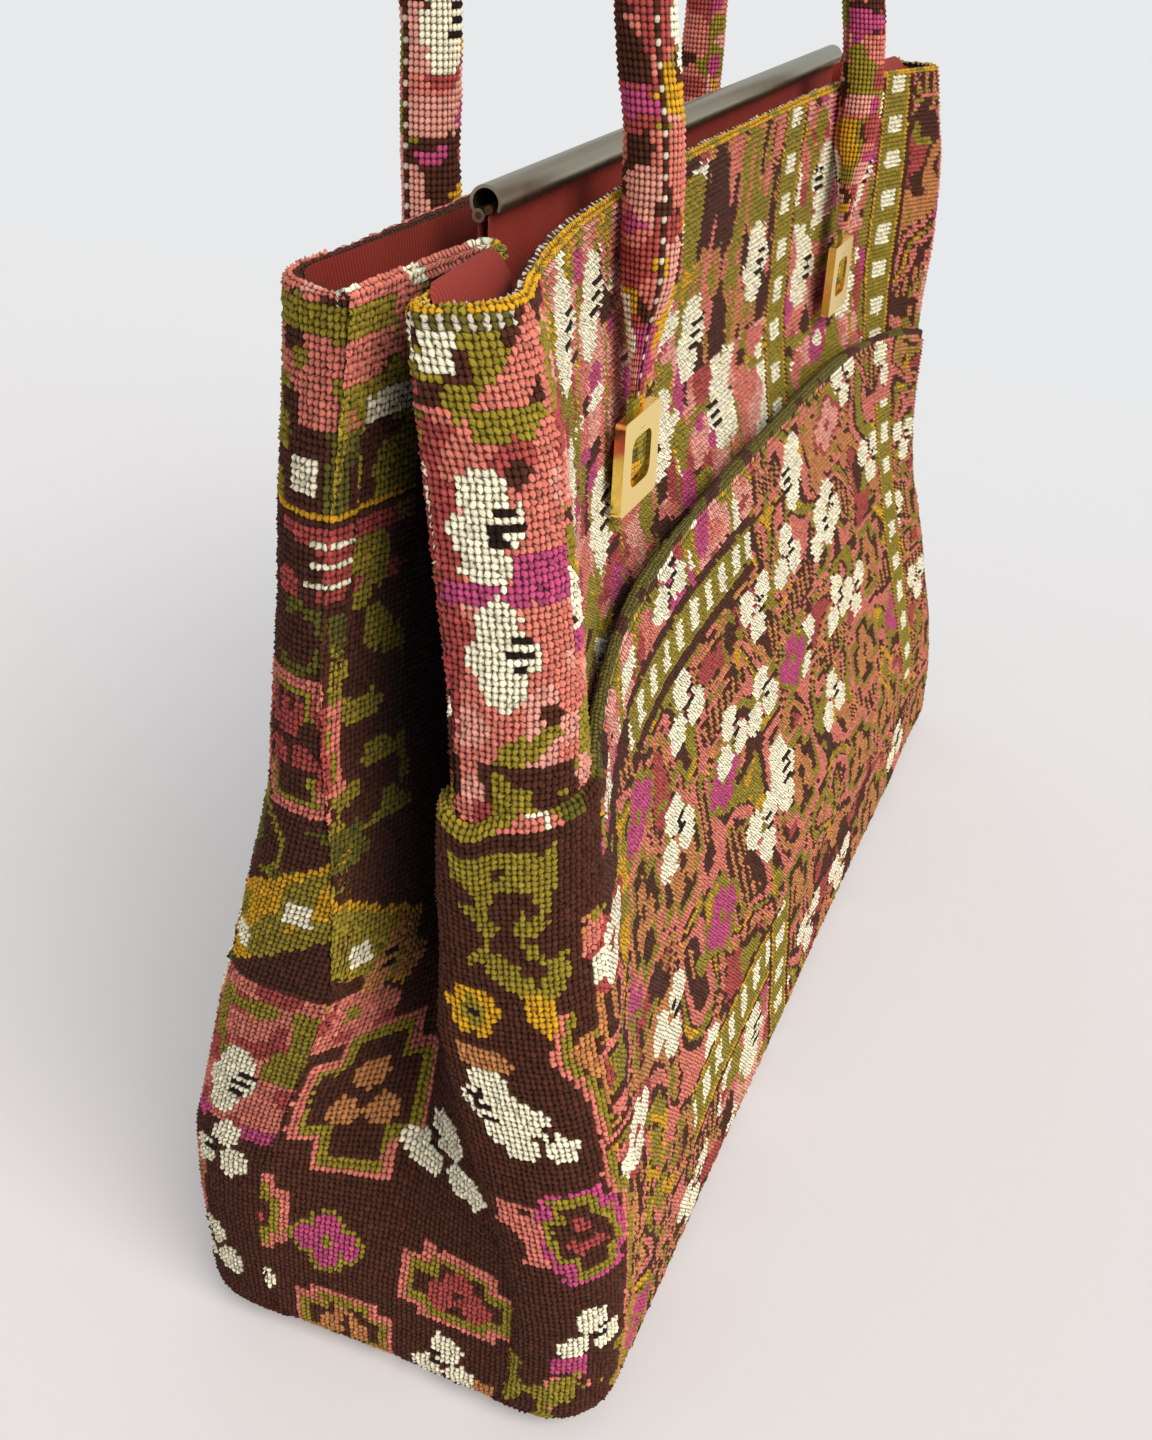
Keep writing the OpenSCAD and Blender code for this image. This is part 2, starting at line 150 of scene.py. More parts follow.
def share_at(side, x, z):
    return (z - CLOTH) / (mouth_z(side, x) - CLOTH)


print(f"bag: {2 * HALF_LENGTH:.0f} x {2 * HALF_DEPTH:.0f} x {BAG_HEIGHT:.0f} mm, cloth {CLOTH:.1f} mm")

# %% [markdown]
# ## Rows of a cloth
# Tapestry is a canvas with rows of wool loops. A bump map could fake them, but loops show on the outline
# of the bag, so they are modelled. Every cloth is a stack of rows. A row is a dense path in plan with a
# height at each point; the loops sit at an even pitch along it, counted from its middle, so that they
# stay the same size where the cloth narrows.

# %% paths
COLUMN_PITCH, ROW_PITCH = 1.35, 1.45
PATH_STEP = 0.75
FACE_STEPS, ARC_STEPS, SPAN_STEPS = 10, 12, 160


def turned_end(side, end, inset, height, dip=0):
    """A wall's plan at one end of the bag, from the ridge along the narrow face and round the corner."""
    f = np.concatenate([np.linspace(0, 1, FACE_STEPS, endpoint=False), np.ones(ARC_STEPS)])
    a = np.concatenate([np.zeros(FACE_STEPS), np.radians(np.linspace(0, 90, ARC_STEPS))])
    r = CORNER_RADIUS
    place = HALF_LENGTH - r * (1 - np.cos(a))
    z = height(place) - dip * 4 * f * (1 - f)
    v = share_at(side, place, z)
    half, x = end_half(side, v, end), end_x(v)
    turned = np.tan(np.arctan2(fold(v), ridge_half(v) - FOLD_NOSE) / 2)
    face = lerp(ridge_half(v) + inset * turned, half - r, f)
    around = f == 1
    return np.stack([end * (x - r + (r - inset) * np.cos(a)),
                     side * np.where(around, half - r + (r - inset) * np.sin(a), face), z], axis=1)


def wall_stations(side, inset, bulge, height, dip=0):
    """A wall's plan, from the left ridge to the right one. height gives z at a place along x."""
    u = np.linspace(-1, 1, SPAN_STEPS)[1:-1]
    x = u * (HALF_LENGTH - CORNER_RADIUS)
    z = height(x)
    v = share_at(side, x, z)
    end = np.where(u < 0, end_half(side, v, LEFT), end_half(side, v, RIGHT))
    half = lerp(mid_half(side, v), end, np.abs(u) ** FLARE)
    puff = bulge(x, z) * (1 - u ** FLARE)
    span = np.stack([u * (end_x(v) - CORNER_RADIUS), side * (half - inset + puff), z], axis=1)
    near, far = (turned_end(side, end, inset, height, dip) for end in (LEFT, RIGHT))
    return np.concatenate([near, span, far[::-1]])


def tucked(path, side, inset):
    """The path carried on round both ridges and a little way down the folds, where the cloth turns in."""
    made = []
    for point, end in ((path[0], LEFT), (path[-1], RIGHT)):
        v = share_at(side, HALF_LENGTH, point[2])
        run, across = fold(v), ridge_half(v) - FOLD_NOSE
        length = 2 + 4 * run / FOLD_DEPTH - min(inset, 0)
        way = np.array([-end * run - end * 1e-3, -side * across * run / FOLD_DEPTH, 0])
        way /= np.linalg.norm(way)
        made.append(point + way * length * np.linspace(1, 0.1, 8)[:, None])
    return np.concatenate([made[0], path, made[1][::-1]])


def evened(path, soft):
    """The path at an even step, its corners rounded off, with its length at each point."""
    def spaced(points):
        along = np.concatenate([[0], np.cumsum(np.linalg.norm(np.diff(points[:, :2], axis=0), axis=1))])
        at = np.linspace(0, along[-1], max(8, int(along[-1] / PATH_STEP)))
        return np.stack([np.interp(at, along, points[:, k]) for k in range(3)], axis=1), along[-1]

    points, _ = spaced(path)
    reach = int(3 * soft / PATH_STEP) + 1
    weights = np.exp(-0.5 * (np.arange(-reach, reach + 1) * PATH_STEP / soft) ** 2)
    weights /= weights.sum()
    before, after = 2 * points[0] - points[reach:0:-1], 2 * points[-1] - points[-2:-reach - 2:-1]
    padded = np.concatenate([before, points, after])
    points = np.stack([np.convolve(padded[:, k], weights, "valid") for k in range(3)], axis=1)
    return spaced(points)


def row_of(path, soft, turn):
    """Points, outward normals and half length of a row. turn is 1 where outside is on its right."""
    points, length = evened(path, soft)
    way = np.gradient(points[:, :2], axis=0)
    way /= np.linalg.norm(way, axis=1)[:, None]
    normal = np.stack([turn * way[:, 1], -turn * way[:, 0], np.zeros(len(way))], axis=1)
    return points, normal, length / 2


print(f"loops: {COLUMN_PITCH} mm along a row, {ROW_PITCH} mm from row to row")

# %% [markdown]
# On the real bag the cloth turns over at its top edge and is sewn down inside. A separate hem would leave
# a seam in the loops, so the same rows climb the wall, roll over the edge and run down inside.

# %% rows of the walls
def climb(count_height, roll, hem):
    """Half rows of a cloth: share of its height, angle over the roll and depth of the hem."""
    rows, half = [], ROW_PITCH / 2
    steps = int(round((count_height - roll) / half))
    rows += [((k / steps) * (1 - roll / count_height), 0.0, 0.0) for k in range(steps + 1)]
    turns = max(2, int(round(math.pi * roll / half)))
    rows += [(1 - roll / count_height, math.pi * k / turns, 0.0) for k in range(1, turns + 1)]
    rows += [(1 - roll / count_height, math.pi, k * half) for k in range(1, int(hem / half) + 1)]
    if len(rows) % 2 == 0:
        rows.append((rows[-1][0], math.pi, rows[-1][2] + half))
    return rows


class Sheet:
    """Points, normals and lengths of a cloth at every half loop."""

    def __init__(self, rows, makers):
        self.rows = rows
        widest = max(half for _, _, half in makers)
        self.columns = int(math.ceil(widest / COLUMN_PITCH))
        at = np.arange(-2 * self.columns, 2 * self.columns + 1) * COLUMN_PITCH / 2
        place, normal, along, half_lengths = [], [], [], []
        for points, normals, half in makers:
            s = np.clip(at, -half, half)
            where = (s + half) / (2 * half) * (len(points) - 1)
            k = np.arange(len(points))
            place.append(np.stack([np.interp(where, k, points[:, i]) for i in range(3)], axis=1))
            normal.append(np.stack([np.interp(where, k, normals[:, i]) for i in range(3)], axis=1))
            along.append(s)
            half_lengths.append(half)
        self.place, self.normal = np.array(place), np.array(normal)
        self.along, self.half = np.array(along), np.array(half_lengths)

    def turn_over(self, radius):
        """Rolls the top rows over and hangs the hem inside. radius gives the roll's radius."""
        for j, (_, angle, drop) in enumerate(self.rows):
            if angle > 0:
                r = radius(self.half[j] - np.abs(self.along[j]))[:, None]
                flat = self.normal[j].copy()
                self.place[j] -= flat * r * (1 - math.cos(angle))
                self.place[j, :, 2] += r[:, 0] * math.sin(angle) - drop
                self.normal[j] = flat * math.cos(angle) + np.array([0, 0, math.sin(angle)])
        return self

    def middles(self):
        """The middle of each loop: along its row, up the cloth, and from the nearer end of its row."""
        s, j = self.along[1::2, 1::2], np.arange(1, len(self.rows), 2)
        up = np.cumsum([0] + [ROW_PITCH / 2] * (len(self.rows) - 1))[j]
        t = np.repeat(up[:, None], s.shape[1], axis=1)
        from_end = self.half[j][:, None] - np.abs(s)
        return s, t, from_end


print("half rows of a cloth 20 mm high with a roll of 2 mm:", len(climb(20, 2, 0)))

# %% [markdown]
# The pocket is a second cloth over the front's plan that stands off it towards its lip. Each gusset is a
# cloth of its own, folded inwards along its middle. The edge is rolled less near the ridges, where two
# cloths meet and are sewn.

# %% cloths of the walls, the pocket and the gussets
WALL_ROLL, POCKET_ROLL, GUSSET_ROLL = 2.1, 2.0, 1.4
END_ROLL, POCKET_END_ROLL = 1.2, 1.0
BACK_HEM, POCKET_HEM, GUSSET_HEM = 3, 14, 1
WALL_SOFT, GUSSET_SOFT = 2.0, 1.2
POCKET_DIP = 5.0
GUSSET_STEPS = 40


def wall_sheet(side):
    rows = climb(BAG_HEIGHT - CLOTH, WALL_ROLL, HEM_DEPTH if side == FRONT else BACK_HEM)
    makers = []
    for v, _, _ in rows:
        height = lambda x: CLOTH + v * (mouth_z(side, x) - CLOTH)
        path = tucked(wall_stations(side, 0, lambda x, z: 0 * x, height), side, 0)
        makers.append(row_of(path, WALL_SOFT, 1 if side == FRONT else -1))
    return Sheet(rows, makers).turn_over(lambda d: lerp(END_ROLL, WALL_ROLL, smooth((d - 4) / 14)))


def pocket_sheet():
    foot = CLOTH + CLEARANCE
    gape = lambda x, z: POCKET_GAPE * smooth((z - foot) / (pocket_z(x) - foot))
    rows = climb(lerp(POCKET_MID, POCKET_END, 0.5) - foot, POCKET_ROLL, POCKET_HEM)
    makers = []
    for w, _, _ in rows:
        inset = -CLEARANCE - 0.6 * CLOTH * smooth(w * 5)
        height = lambda x: foot + w * (pocket_z(x) - foot)
        path = tucked(wall_stations(FRONT, inset, gape, height, POCKET_DIP * w ** 3), FRONT, inset)
        makers.append(row_of(path, WALL_SOFT, 1))
    return Sheet(rows, makers).turn_over(lambda d: lerp(POCKET_END_ROLL, POCKET_ROLL, smooth((d - 3) / 10)))


def gusset_sheet(end):
    rows = climb(WALL_HEIGHT, GUSSET_ROLL, GUSSET_HEM)
    makers = []
    for v, _, _ in rows:
        f = np.linspace(0, 1, GUSSET_STEPS)
        x, y = end * (end_x(v) - f * fold(v)), lerp(ridge_half(v), FOLD_NOSE, f)
        z = np.full(GUSSET_STEPS, CLOTH + v * WALL_HEIGHT)
        walls = np.stack([x, -y, z], axis=1), np.stack([x, y, z], axis=1)[::-1]
        makers.append(row_of(np.concatenate(walls), GUSSET_SOFT, -1 if end == LEFT else 1))
    return Sheet(rows, makers).turn_over(lambda d: GUSSET_ROLL + 0 * d)


sheets = {"front_panel": wall_sheet(FRONT), "back_panel": wall_sheet(BACK), "front_pocket": pocket_sheet(),
          "left_gusset": gusset_sheet(LEFT), "right_gusset": gusset_sheet(RIGHT)}
for name, cloth in sheets.items():
    print(f"{name}: {2 * cloth.columns} columns of loops, {len(cloth.rows) // 2} rows")

# %% [markdown]
# The base is one more cloth. A flat plane would show a hard edge from low down, so its rows, which run
# along the bag, bend up where the soft edge begins.

# %% rows of the base
BASE_FRONT, BASE_BACK = end_half(FRONT, 0), end_half(BACK, 0)
BASE_STEPS, BASE_LIFT = 300, 0.5


def base_sheet():
    depth = BASE_FRONT + BASE_BACK
    count = 2 * int(depth / ROW_PITCH / 2) * 2
    rows, makers = [], []
    reach = end_x(0)
    for y in np.linspace(-BASE_FRONT, BASE_BACK, count + 1):
        short = np.clip(CORNER_RADIUS - min(y + BASE_FRONT, BASE_BACK - y), 0, CORNER_RADIUS)
        half = reach - CORNER_RADIUS + math.sqrt(CORNER_RADIUS ** 2 - short ** 2)
        x = np.linspace(-half, half, BASE_STEPS)
        border = np.minimum(half - np.abs(x), min(y + BASE_FRONT, BASE_BACK - y))
        inside = np.clip(edge_inset(0) + border, 0, EDGE_RADIUS)
        z = EDGE_RADIUS - np.sqrt(EDGE_RADIUS ** 2 - (EDGE_RADIUS - inside) ** 2)
        rows.append((0, 0, 0))
        path = np.stack([x, np.full(BASE_STEPS, y), z + BASE_LIFT], axis=1)
        makers.append((path, np.tile([0.0, 0.0, -1.0], (BASE_STEPS, 1)), half))
    return Sheet(rows, makers)


sheets["base_panel"] = base_sheet()
print("base:", 2 * sheets["base_panel"].columns, "columns")

# %% [markdown]
# ## Pattern
# The real cloth is worked in about a dozen wools, flowers and bands on a brown or pink ground. A painted
# picture could carry that, but needlework is charted, one yarn to a loop, so the pattern is charted too.
# Motifs are drawn with discs, boxes and stepped outlines on the grid of loops, in millimetres.

# %% yarns
def linear(*srgb):
    c = np.array(srgb) / 255
    return np.where(c <= 0.04045, c / 12.92, ((c + 0.055) / 1.055) ** 2.4)


YARNS = {"brown": (82, 43, 29), "dark": (42, 24, 19), "olive": (152, 132, 42), "moss": (104, 94, 34),
         "mustard": (216, 160, 36), "salmon": (220, 124, 106), "rose": (176, 76, 70),
         "magenta": (196, 78, 122), "cream": (255, 244, 212), "tan": (200, 132, 78),
         "blush": (236, 160, 142), "linen": (214, 200, 176)}
YARN_NAMES = list(YARNS)
YARN_COLOURS = np.array([linear(*YARNS[n]) for n in YARN_NAMES])
BROWN, DARK, OLIVE, MOSS, MUSTARD, SALMON, ROSE, MAGENTA, CREAM, TAN, BLUSH, LINEN = range(len(YARN_NAMES))
print("yarns:", ", ".join(YARN_NAMES))

# %% [markdown]
# Hand-charted ground is never even. A random height over the cloth, cut at a level, gives patches of yarn
# with soft outlines, and the same seed gives the same patches in every run.

# %% uneven ground
def hills(s, t, size, seed):
    """Smooth random heights from 0 to 1 over a cloth, with hills of that size."""
    grid = np.random.default_rng(seed).random((64, 64))
    a, b = s / size + 31.7, t / size + 17.3
    i, j = np.floor(a).astype(int), np.floor(b).astype(int)
    p, q = smooth(a - i), smooth(b - j)
    at = lambda m, n: grid[(i + m) % 64, (j + n) % 64]
    return lerp(lerp(at(0, 0), at(1, 0), p), lerp(at(0, 1), at(1, 1), p), q)


print(f"hills over 4 loops: {hills(np.arange(4), np.arange(4), 6, 1).round(2)}")

# %% [markdown]
# The chart holds the yarn of every loop and a method for each motif. A motif paints over what is there, so
# the order of the calls is the order of the layers.

# %% motifs
class Chart:
    """The yarn of every loop of a cloth, painted motif by motif. s runs along the rows, t up them."""

    def __init__(self, s, t, ground=BROWN):
        self.s, self.t = s, t
        self.yarn = np.full(s.shape, ground)
        self.within = np.ones(s.shape, bool)
        # painted shade of each loop: a factor on its colour, 1 where no shade is painted
        self.painted_shade = np.ones(s.shape)

    def seen_from(self, s, within):
        """The same loops, with s measured another way, to paint only those within."""
        made = Chart(s, self.t)
        made.yarn, made.within = self.yarn, within
        return made

    def fill(self, mask, yarn):
        self.yarn[mask & self.within] = yarn

    def box(self, s0, s1, t0, t1):
        return (self.s >= s0) & (self.s < s1) & (self.t >= t0) & (self.t < t1)

    def disc(self, s, t, r, wide=1):
        return ((self.s - s) / wide) ** 2 + (self.t - t) ** 2 < r * r

    def vein(self, s0, s1, t):
        """A row of dark loops across a flower."""
        self.fill(self.box(s0, s1, t - ROW_PITCH / 2, t + ROW_PITCH / 2), DARK)

    def pansy(self, s, t, turn=1, petal=CREAM, wide=1):
        for ds, dt, r in ((0, 6.2, 5.0), (3.2 * turn, 0.6, 4.6), (-3.0 * turn, -0.8, 4.2), (0, -6.4, 4.6)):
            self.fill(self.disc(s + ds * wide, t + dt, r, wide), petal)
        for k in (-1, 0, 1):
            near = s + turn * wide * (3.4 + 0.7 * k)
            self.vein(near - 2.4 * wide, near + 2.4 * wide, t + 2 * ROW_PITCH * k)

    def trefoil(self, s, t, petal=CREAM, turn=1, wide=1):
        for ds, dt in ((0, 5.0), (-4.7, -2.8), (4.7, -2.8)):
            self.fill(self.disc(s + ds * wide, t + turn * dt, 4.3, wide), petal)
        for k in (0, 1):
            self.vein(s + 1.2 * wide, s + 4.4 * wide, t + turn * (2.2 - 2 * ROW_PITCH * k))

    def blossom(self, s, t, petal=MAGENTA, ring=OLIVE, wide=1):
        for yarn, r in ((ring, 5.2), (petal, 3.7)):
            for ds, dt in ((4.8, 0), (-4.8, 0), (0, 4.2), (0, -4.2)):
                self.fill(self.disc(s + ds * wide, t + dt, r, wide), yarn)
        self.fill(self.disc(s, t, 1.8, wide), ring)

    def curl(self, s, t, r, start, sweep, yarn=OLIVE, wide=2.4):
        """A part of a ring, for tendrils: from the angle start through sweep, in degrees."""
        away = np.hypot(self.s - s, self.t - t)
        round_to = (np.degrees(np.arctan2(self.t - t, self.s - s)) - start) % 360
        self.fill((np.abs(away - r) < wide / 2) & (round_to < sweep), yarn)

    def stepped(self, s, t, width, height, heart=TAN, outline=SALMON):
        """A stepped outline with an olive one inside it, round a heart of three petals."""
        ds, dt = np.abs(self.s - s), np.abs(self.t - t)
        line = 1.45
        for yarn, grow in ((outline, 3 * line), (OLIVE, 1.5 * line), (BROWN, 0)):
            shape = ((ds < width / 2 + grow) & (dt < height / 4 + grow)) | \
                    ((ds < width / 4 + grow) & (dt < height / 2 + grow))
            self.fill(shape, yarn)
        for off in (-1, 1):
            self.fill(self.disc(s + off * width / 5.2, t - height / 9, width / 5.6), heart)
        self.fill(self.disc(s, t + height / 5, width / 5.6), heart)
        self.fill(self.disc(s, t, width / 12), BROWN)

    def rosette(self, s, t, r=6):
        for k in range(6):
            a = math.radians(60 * k)
            self.fill(self.disc(s + r * 0.66 * math.cos(a), t + r * 0.66 * math.sin(a), r * 0.42), MUSTARD)
        self.fill(self.disc(s, t, r * 0.5), OLIVE)
        self.fill(self.disc(s, t, r * 0.22), DARK)

    def diamond(self, s, t, r, yarn=MUSTARD):
        away = np.abs(self.s - s) + np.abs(self.t - t)
        self.fill((away < r) & (away > r - 3), yarn)
        self.fill(away < r - 5, OLIVE)

    def leaf(self, s, t, length, slope, yarn=OLIVE):
        for k in np.linspace(-0.5, 0.5, 7):
            self.fill(self.disc(s + k * length * math.cos(slope), t + k * length * math.sin(slope),
                                2.4 * (1 - abs(k)) + 0.8), yarn)

    def band(self, s0, t0, s1, t1, wide=11.5, first=0.5):
        """An olive band edged in mustard and dark brown, with cream squares along it, level or upright."""
        level = abs(s1 - s0) > abs(t1 - t0)
        run, across = (self.s, self.t - t0) if level else (self.t, self.s - s0)
        low, high = sorted((s0, s1) if level else (t0, t1))
        inside = (run > low) & (run < high)
        for yarn, half in ((BROWN, wide / 2 + 2), (MUSTARD, wide / 2), (OLIVE, wide / 2 - 1.3)):
            self.fill(inside & (np.abs(across) < half), yarn)
        pitch = 12.5
        phase = (run - low) / pitch + first
        square = np.abs(phase - np.floor(phase) - 0.5) * pitch < 3.0
        self.fill(inside & square & (np.abs(across) < wide * 0.27), CREAM)

    def frayed(self, share, seed):
        """Lets a share of the loops take the yarn of a neighbour, as in a worn pattern."""
        rng = np.random.default_rng(seed)
        for axis, step in ((0, 1), (0, -1), (1, 1), (1, -1)):
            swap = rng.random(self.yarn.shape) < share / 4
            self.yarn = np.where(swap, np.roll(self.yarn, step, axis), self.yarn)

    def dashes(self, mask, a, b):
        """Threads of the ground showing between loops along a fold: two yarns by turns."""
        odd = (np.arange(self.s.shape[1]) % 2 == 0)[None, :]
        self.fill(mask & odd, a)
        self.fill(mask & ~odd, b)


print("chart methods:", ", ".join(name for name in vars(Chart) if not name.startswith("_")))

# %% [markdown]
# Three kinds of field fill the cloth: a pink meadow with cream flowers, a brown ground with outlined
# scrolls, and upright strokes of tan and olive. Drawing each stitch by hand would take days; fields with
# loose rows of motifs keep the same mixture of colours at any size.

# %% fields
def spots(low, high, pitch, seed):
    """Places on a loose brick grid inside a box of (s, t)."""
    rng = np.random.default_rng(seed)
    rows = max(1, int((high[1] - low[1]) / pitch[1]))
    cols = max(1, int((high[0] - low[0]) / pitch[0]))
    for j in range(rows):
        for i in range(cols):
            s = low[0] + (i + 0.5 + 0.5 * (j % 2)) * (high[0] - low[0]) / cols
            t = low[1] + (j + 0.5) * (high[1] - low[1]) / rows
            yield s + rng.uniform(-3, 3), t + rng.uniform(-3, 3), int(rng.integers(0, 6))


WIDE = 1.7


def meadow(chart, s0, s1, t0, t1, seed, flowers=True):
    chart.within = chart.box(s0, s1, t0, t1)
    s, t = chart.s / WIDE, chart.t
    chart.fill(chart.within, SALMON)
    chart.fill(hills(s, t, 6, seed) > 0.5, BLUSH)
    chart.fill(hills(s, t, 8, seed + 1) > 0.7, ROSE)
    chart.fill(hills(s, t, 9, seed + 2) > 0.74, MAGENTA)
    chart.fill(hills(s, t * 0.7, 7, seed + 8) > 0.76, CREAM)
    stem = hills(s * 1.5, t * 0.62, 13, seed + 4)
    chart.fill(np.abs(stem - 0.5) < 0.06, OLIVE)
    chart.fill((np.abs(stem - 0.5) < 0.016) & (hills(s, t, 5, seed + 6) > 0.5), MUSTARD)
    chart.fill(hills(s, t, 7, seed + 3) > 0.78, BROWN)
    chart.fill(hills(s, t, 9, seed + 5) > 0.74, OLIVE)
    if flowers:
        for x, y, kind in spots((s0, t0), (s1, t1), (42, 30), seed):
            if kind < 3:
                chart.pansy(x, y, 1 if kind % 2 else -1, CREAM, WIDE)
            elif kind == 3:
                chart.blossom(x, y, MAGENTA, ROSE, WIDE)
            else:
                chart.leaf(x, y, 16, 0.9)
                chart.leaf(x + 5, y, 12, 2.2, MOSS)
    chart.within = np.ones(chart.s.shape, bool)


def scrolls(chart, s0, s1, t0, t1, seed, pale=0.0):
    chart.within = chart.box(s0, s1, t0, t1)
    bend = 9 * (hills(chart.s, chart.t, 17, seed + 7) - 0.5)
    s, t = chart.s / WIDE + bend, chart.t - bend
    chart.fill(chart.within, BROWN)
    high = hills(s, t, 14, seed)
    chart.fill((high > 0.74) & (np.floor(chart.s / (2 * COLUMN_PITCH)) % 2 == 0), TAN)
    chart.fill(np.abs(high - 0.64) < 0.035 + 0.02 * pale, SALMON)
    chart.fill(np.abs(high - 0.53) < 0.045, OLIVE)
    chart.fill((np.abs(high - 0.53) < 0.03) & (hills(s, t, 5, seed + 3) > 0.6), MUSTARD)
    chart.fill(np.abs(high - 0.38) < 0.03 + 0.02 * pale, SALMON if pale else TAN)
    chart.fill(np.abs(high - 0.27) < 0.025 + 0.03 * pale, TAN)
    chart.fill((high < 0.2) & (hills(s, t, 6, seed + 5) > 0.42), ROSE if pale else MOSS)
    chart.fill(hills(s, t, 5, seed + 9) > 0.82, OLIVE)
    for x, y, kind in spots((s0, t0), (s1, t1), (42, 27), seed + 1):
        if kind < 2:
            chart.trefoil(x, y, turn=1 if kind else -1, wide=WIDE)
        elif kind == 2:
            chart.stepped(x, y, 30, 20)
        elif kind == 3:
            chart.blossom(x, y, MAGENTA if seed % 2 else SALMON, OLIVE, WIDE)
        elif kind == 4:
            chart.blossom(x, y, CREAM, ROSE, WIDE)
        else:
            chart.curl(x - 4, y, 6, 20, 230)
            chart.curl(x + 6, y + 2, 5, 200, 220)
            chart.fill(chart.disc(x, y - 7, 2.6), MUSTARD)
    chart.within = np.ones(chart.s.shape, bool)


def strokes(chart, s0, s1, t0, t1, seed):
    chart.within = chart.box(s0, s1, t0, t1)
    s, t = chart.s, chart.t
    chart.fill(chart.within, BROWN)
    drawn = hills(s * 2.2, t * 0.8, 11, seed)
    chart.fill(drawn > 0.45, TAN)
    chart.fill(drawn > 0.68, OLIVE)
    chart.fill(hills(s * 2, t, 9, seed + 1) > 0.76, SALMON)
    chart.within = np.ones(s.shape, bool)


# %% [markdown]
# Each cloth gets its own chart. Where a cloth turns over at its rim, wear shows threads of the ground
# between the loops, and the hem inside is ribbed and ends in bare linen. Those rows are charted by one
# function.

# %% rims
TUCK = 6
charts = {}


def cloth_top(cloth):
    """How far up a cloth its roll begins."""
    return ROW_PITCH / 2 * next(j for j, row in enumerate(cloth.rows) if row[1] > 0)


def edge_rows(c, t, top, roll, edge, other, threads):
    """The rolled rim in two yarns and, where asked, ground threads, a ribbed hem and bare linen."""
    over = math.pi * roll
    rim = (t >= top) & (t < top + over * 0.6)
    c.fill(rim, edge)
    c.fill(rim & (hills(c.s, c.t, 7, 91) > 0.64), other)
    c.fill(t >= top + over * 0.6, BROWN)
    if threads:
        c.dashes((t >= top + over * 0.6) & (t < top + over * 0.6 + 1.5), LINEN, BROWN)
        c.dashes((t >= top + over + 3) & (t < top + over + 6), TAN, BROWN)
        c.fill(t >= top + over + 8, LINEN)


def keep_chart(name, chart):
    charts[name] = chart
    print(f"{name}: {chart.yarn.size} loops charted")


# %% [markdown]
# The front follows the photo most closely at its near end: two cream pansies on pink below a brown and
# olive corner. The wide face has two upright bands and cream pansies that are wider than they are high.

# %% chart of the front panel
def chart_front(cloth):
    s, t, from_end = cloth.middles()
    c = Chart(s, t, SALMON)
    meadow(c, -240, -34, 0, 300, 3, False)
    meadow(c, -34, 45, 0, 300, 8, False)
    c.fill(np.abs(s - 2) < 0.55 * (t - 205), MOSS)
    c.within = np.abs(s - 2) < 0.55 * (t - 210)
    strokes(c, -34, 45, 208, 300, 5)
    meadow(c, 62, 144, 0, 300, 11, False)
    scrolls(c, 162, 240, 0, 300, 13, 0.5)
    c.band(52, 150, 52, 275, 19)
    c.band(153, 150, 153, 275, 19)
    for x, z, turn in ((-152, 250, 1), (-122, 248, 1), (-156, 220, -1), (-158, 192, 1), (-66, 232, 1),
                       (-112, 198, 1), (-58, 200, -1), (-34, 218, 1), (24, 226, 1), (-6, 192, -1),
                       (126, 236, 1), (92, 240, -1), (80, 212, 1), (122, 200, -1)):
        c.pansy(x, z, turn, CREAM, WIDE)
    for end in (LEFT, RIGHT):
        near = c.seen_from(from_end - TUCK, (s * end > 0) & (from_end < TUCK + 27))
        near.fill(near.box(-9, 27, 0, 256), SALMON)
        near.fill((hills(s, t, 7, 21) > 0.6) & near.box(-9, 27, 0, 252), BLUSH)
        near.fill((hills(s, t, 9, 24) + 0.02 * (6 - near.s) > 0.62) & near.box(-9, 27, 0, 246), ROSE)
        near.fill(near.box(-9, 24, 250, 270), BROWN)
        near.fill((hills(s, t, 6, 22) > 0.5) & near.box(-9, 24, 246, 270), OLIVE)
        slanted = near.t - 1.2 * near.s
        near.fill((slanted > 226) & (slanted < 238) & near.box(3, 26, 236, 268), SALMON)
        near.fill(near.box(9, 22, 243, 249), OLIVE)
        near.fill(near.disc(17, 238, 2.6), BROWN)
        near.fill(near.box(1, 7.5, 255, 262), CREAM)
        near.pansy(10, 228, 1)
        near.fill(near.box(14, 27, 216, 224), MAGENTA)
        near.fill(near.box(1, 27, 213, 217), MAGENTA)
        near.pansy(11, 203, 1)
        near.fill(near.disc(20, 191, 2.4), BROWN)
        near.leaf(15, 184, 12, 0.5)
        near.fill(near.box(-9, 27, 0, 180) & (hills(s, t, 5, 25) > 0.45), BROWN)
        near.fill(near.box(8, 27, 0, 178) & (hills(s, t, 5, 26) > 0.5), OLIVE)
    c.frayed(0.1, 1)
    edge_rows(c, t, BAG_HEIGHT - CLOTH - WALL_ROLL, WALL_ROLL, MUSTARD, OLIVE, True)
    below_rim = np.abs(t - BAG_HEIGHT + CLOTH + WALL_ROLL + 1) < 0.8
    c.dashes((from_end < TUCK + 20) & (s < 0) & below_rim, LINEN, MOSS)
    return c


keep_chart("front_panel", chart_front(sheets["front_panel"]))

# %% [markdown]
# The back isn't in the photo, so it gets fields and bands of the same kinds. Its narrow face at each end,
# the back lobe, is seen: bands, motifs and a slanted olive strip from its rim down to the base.

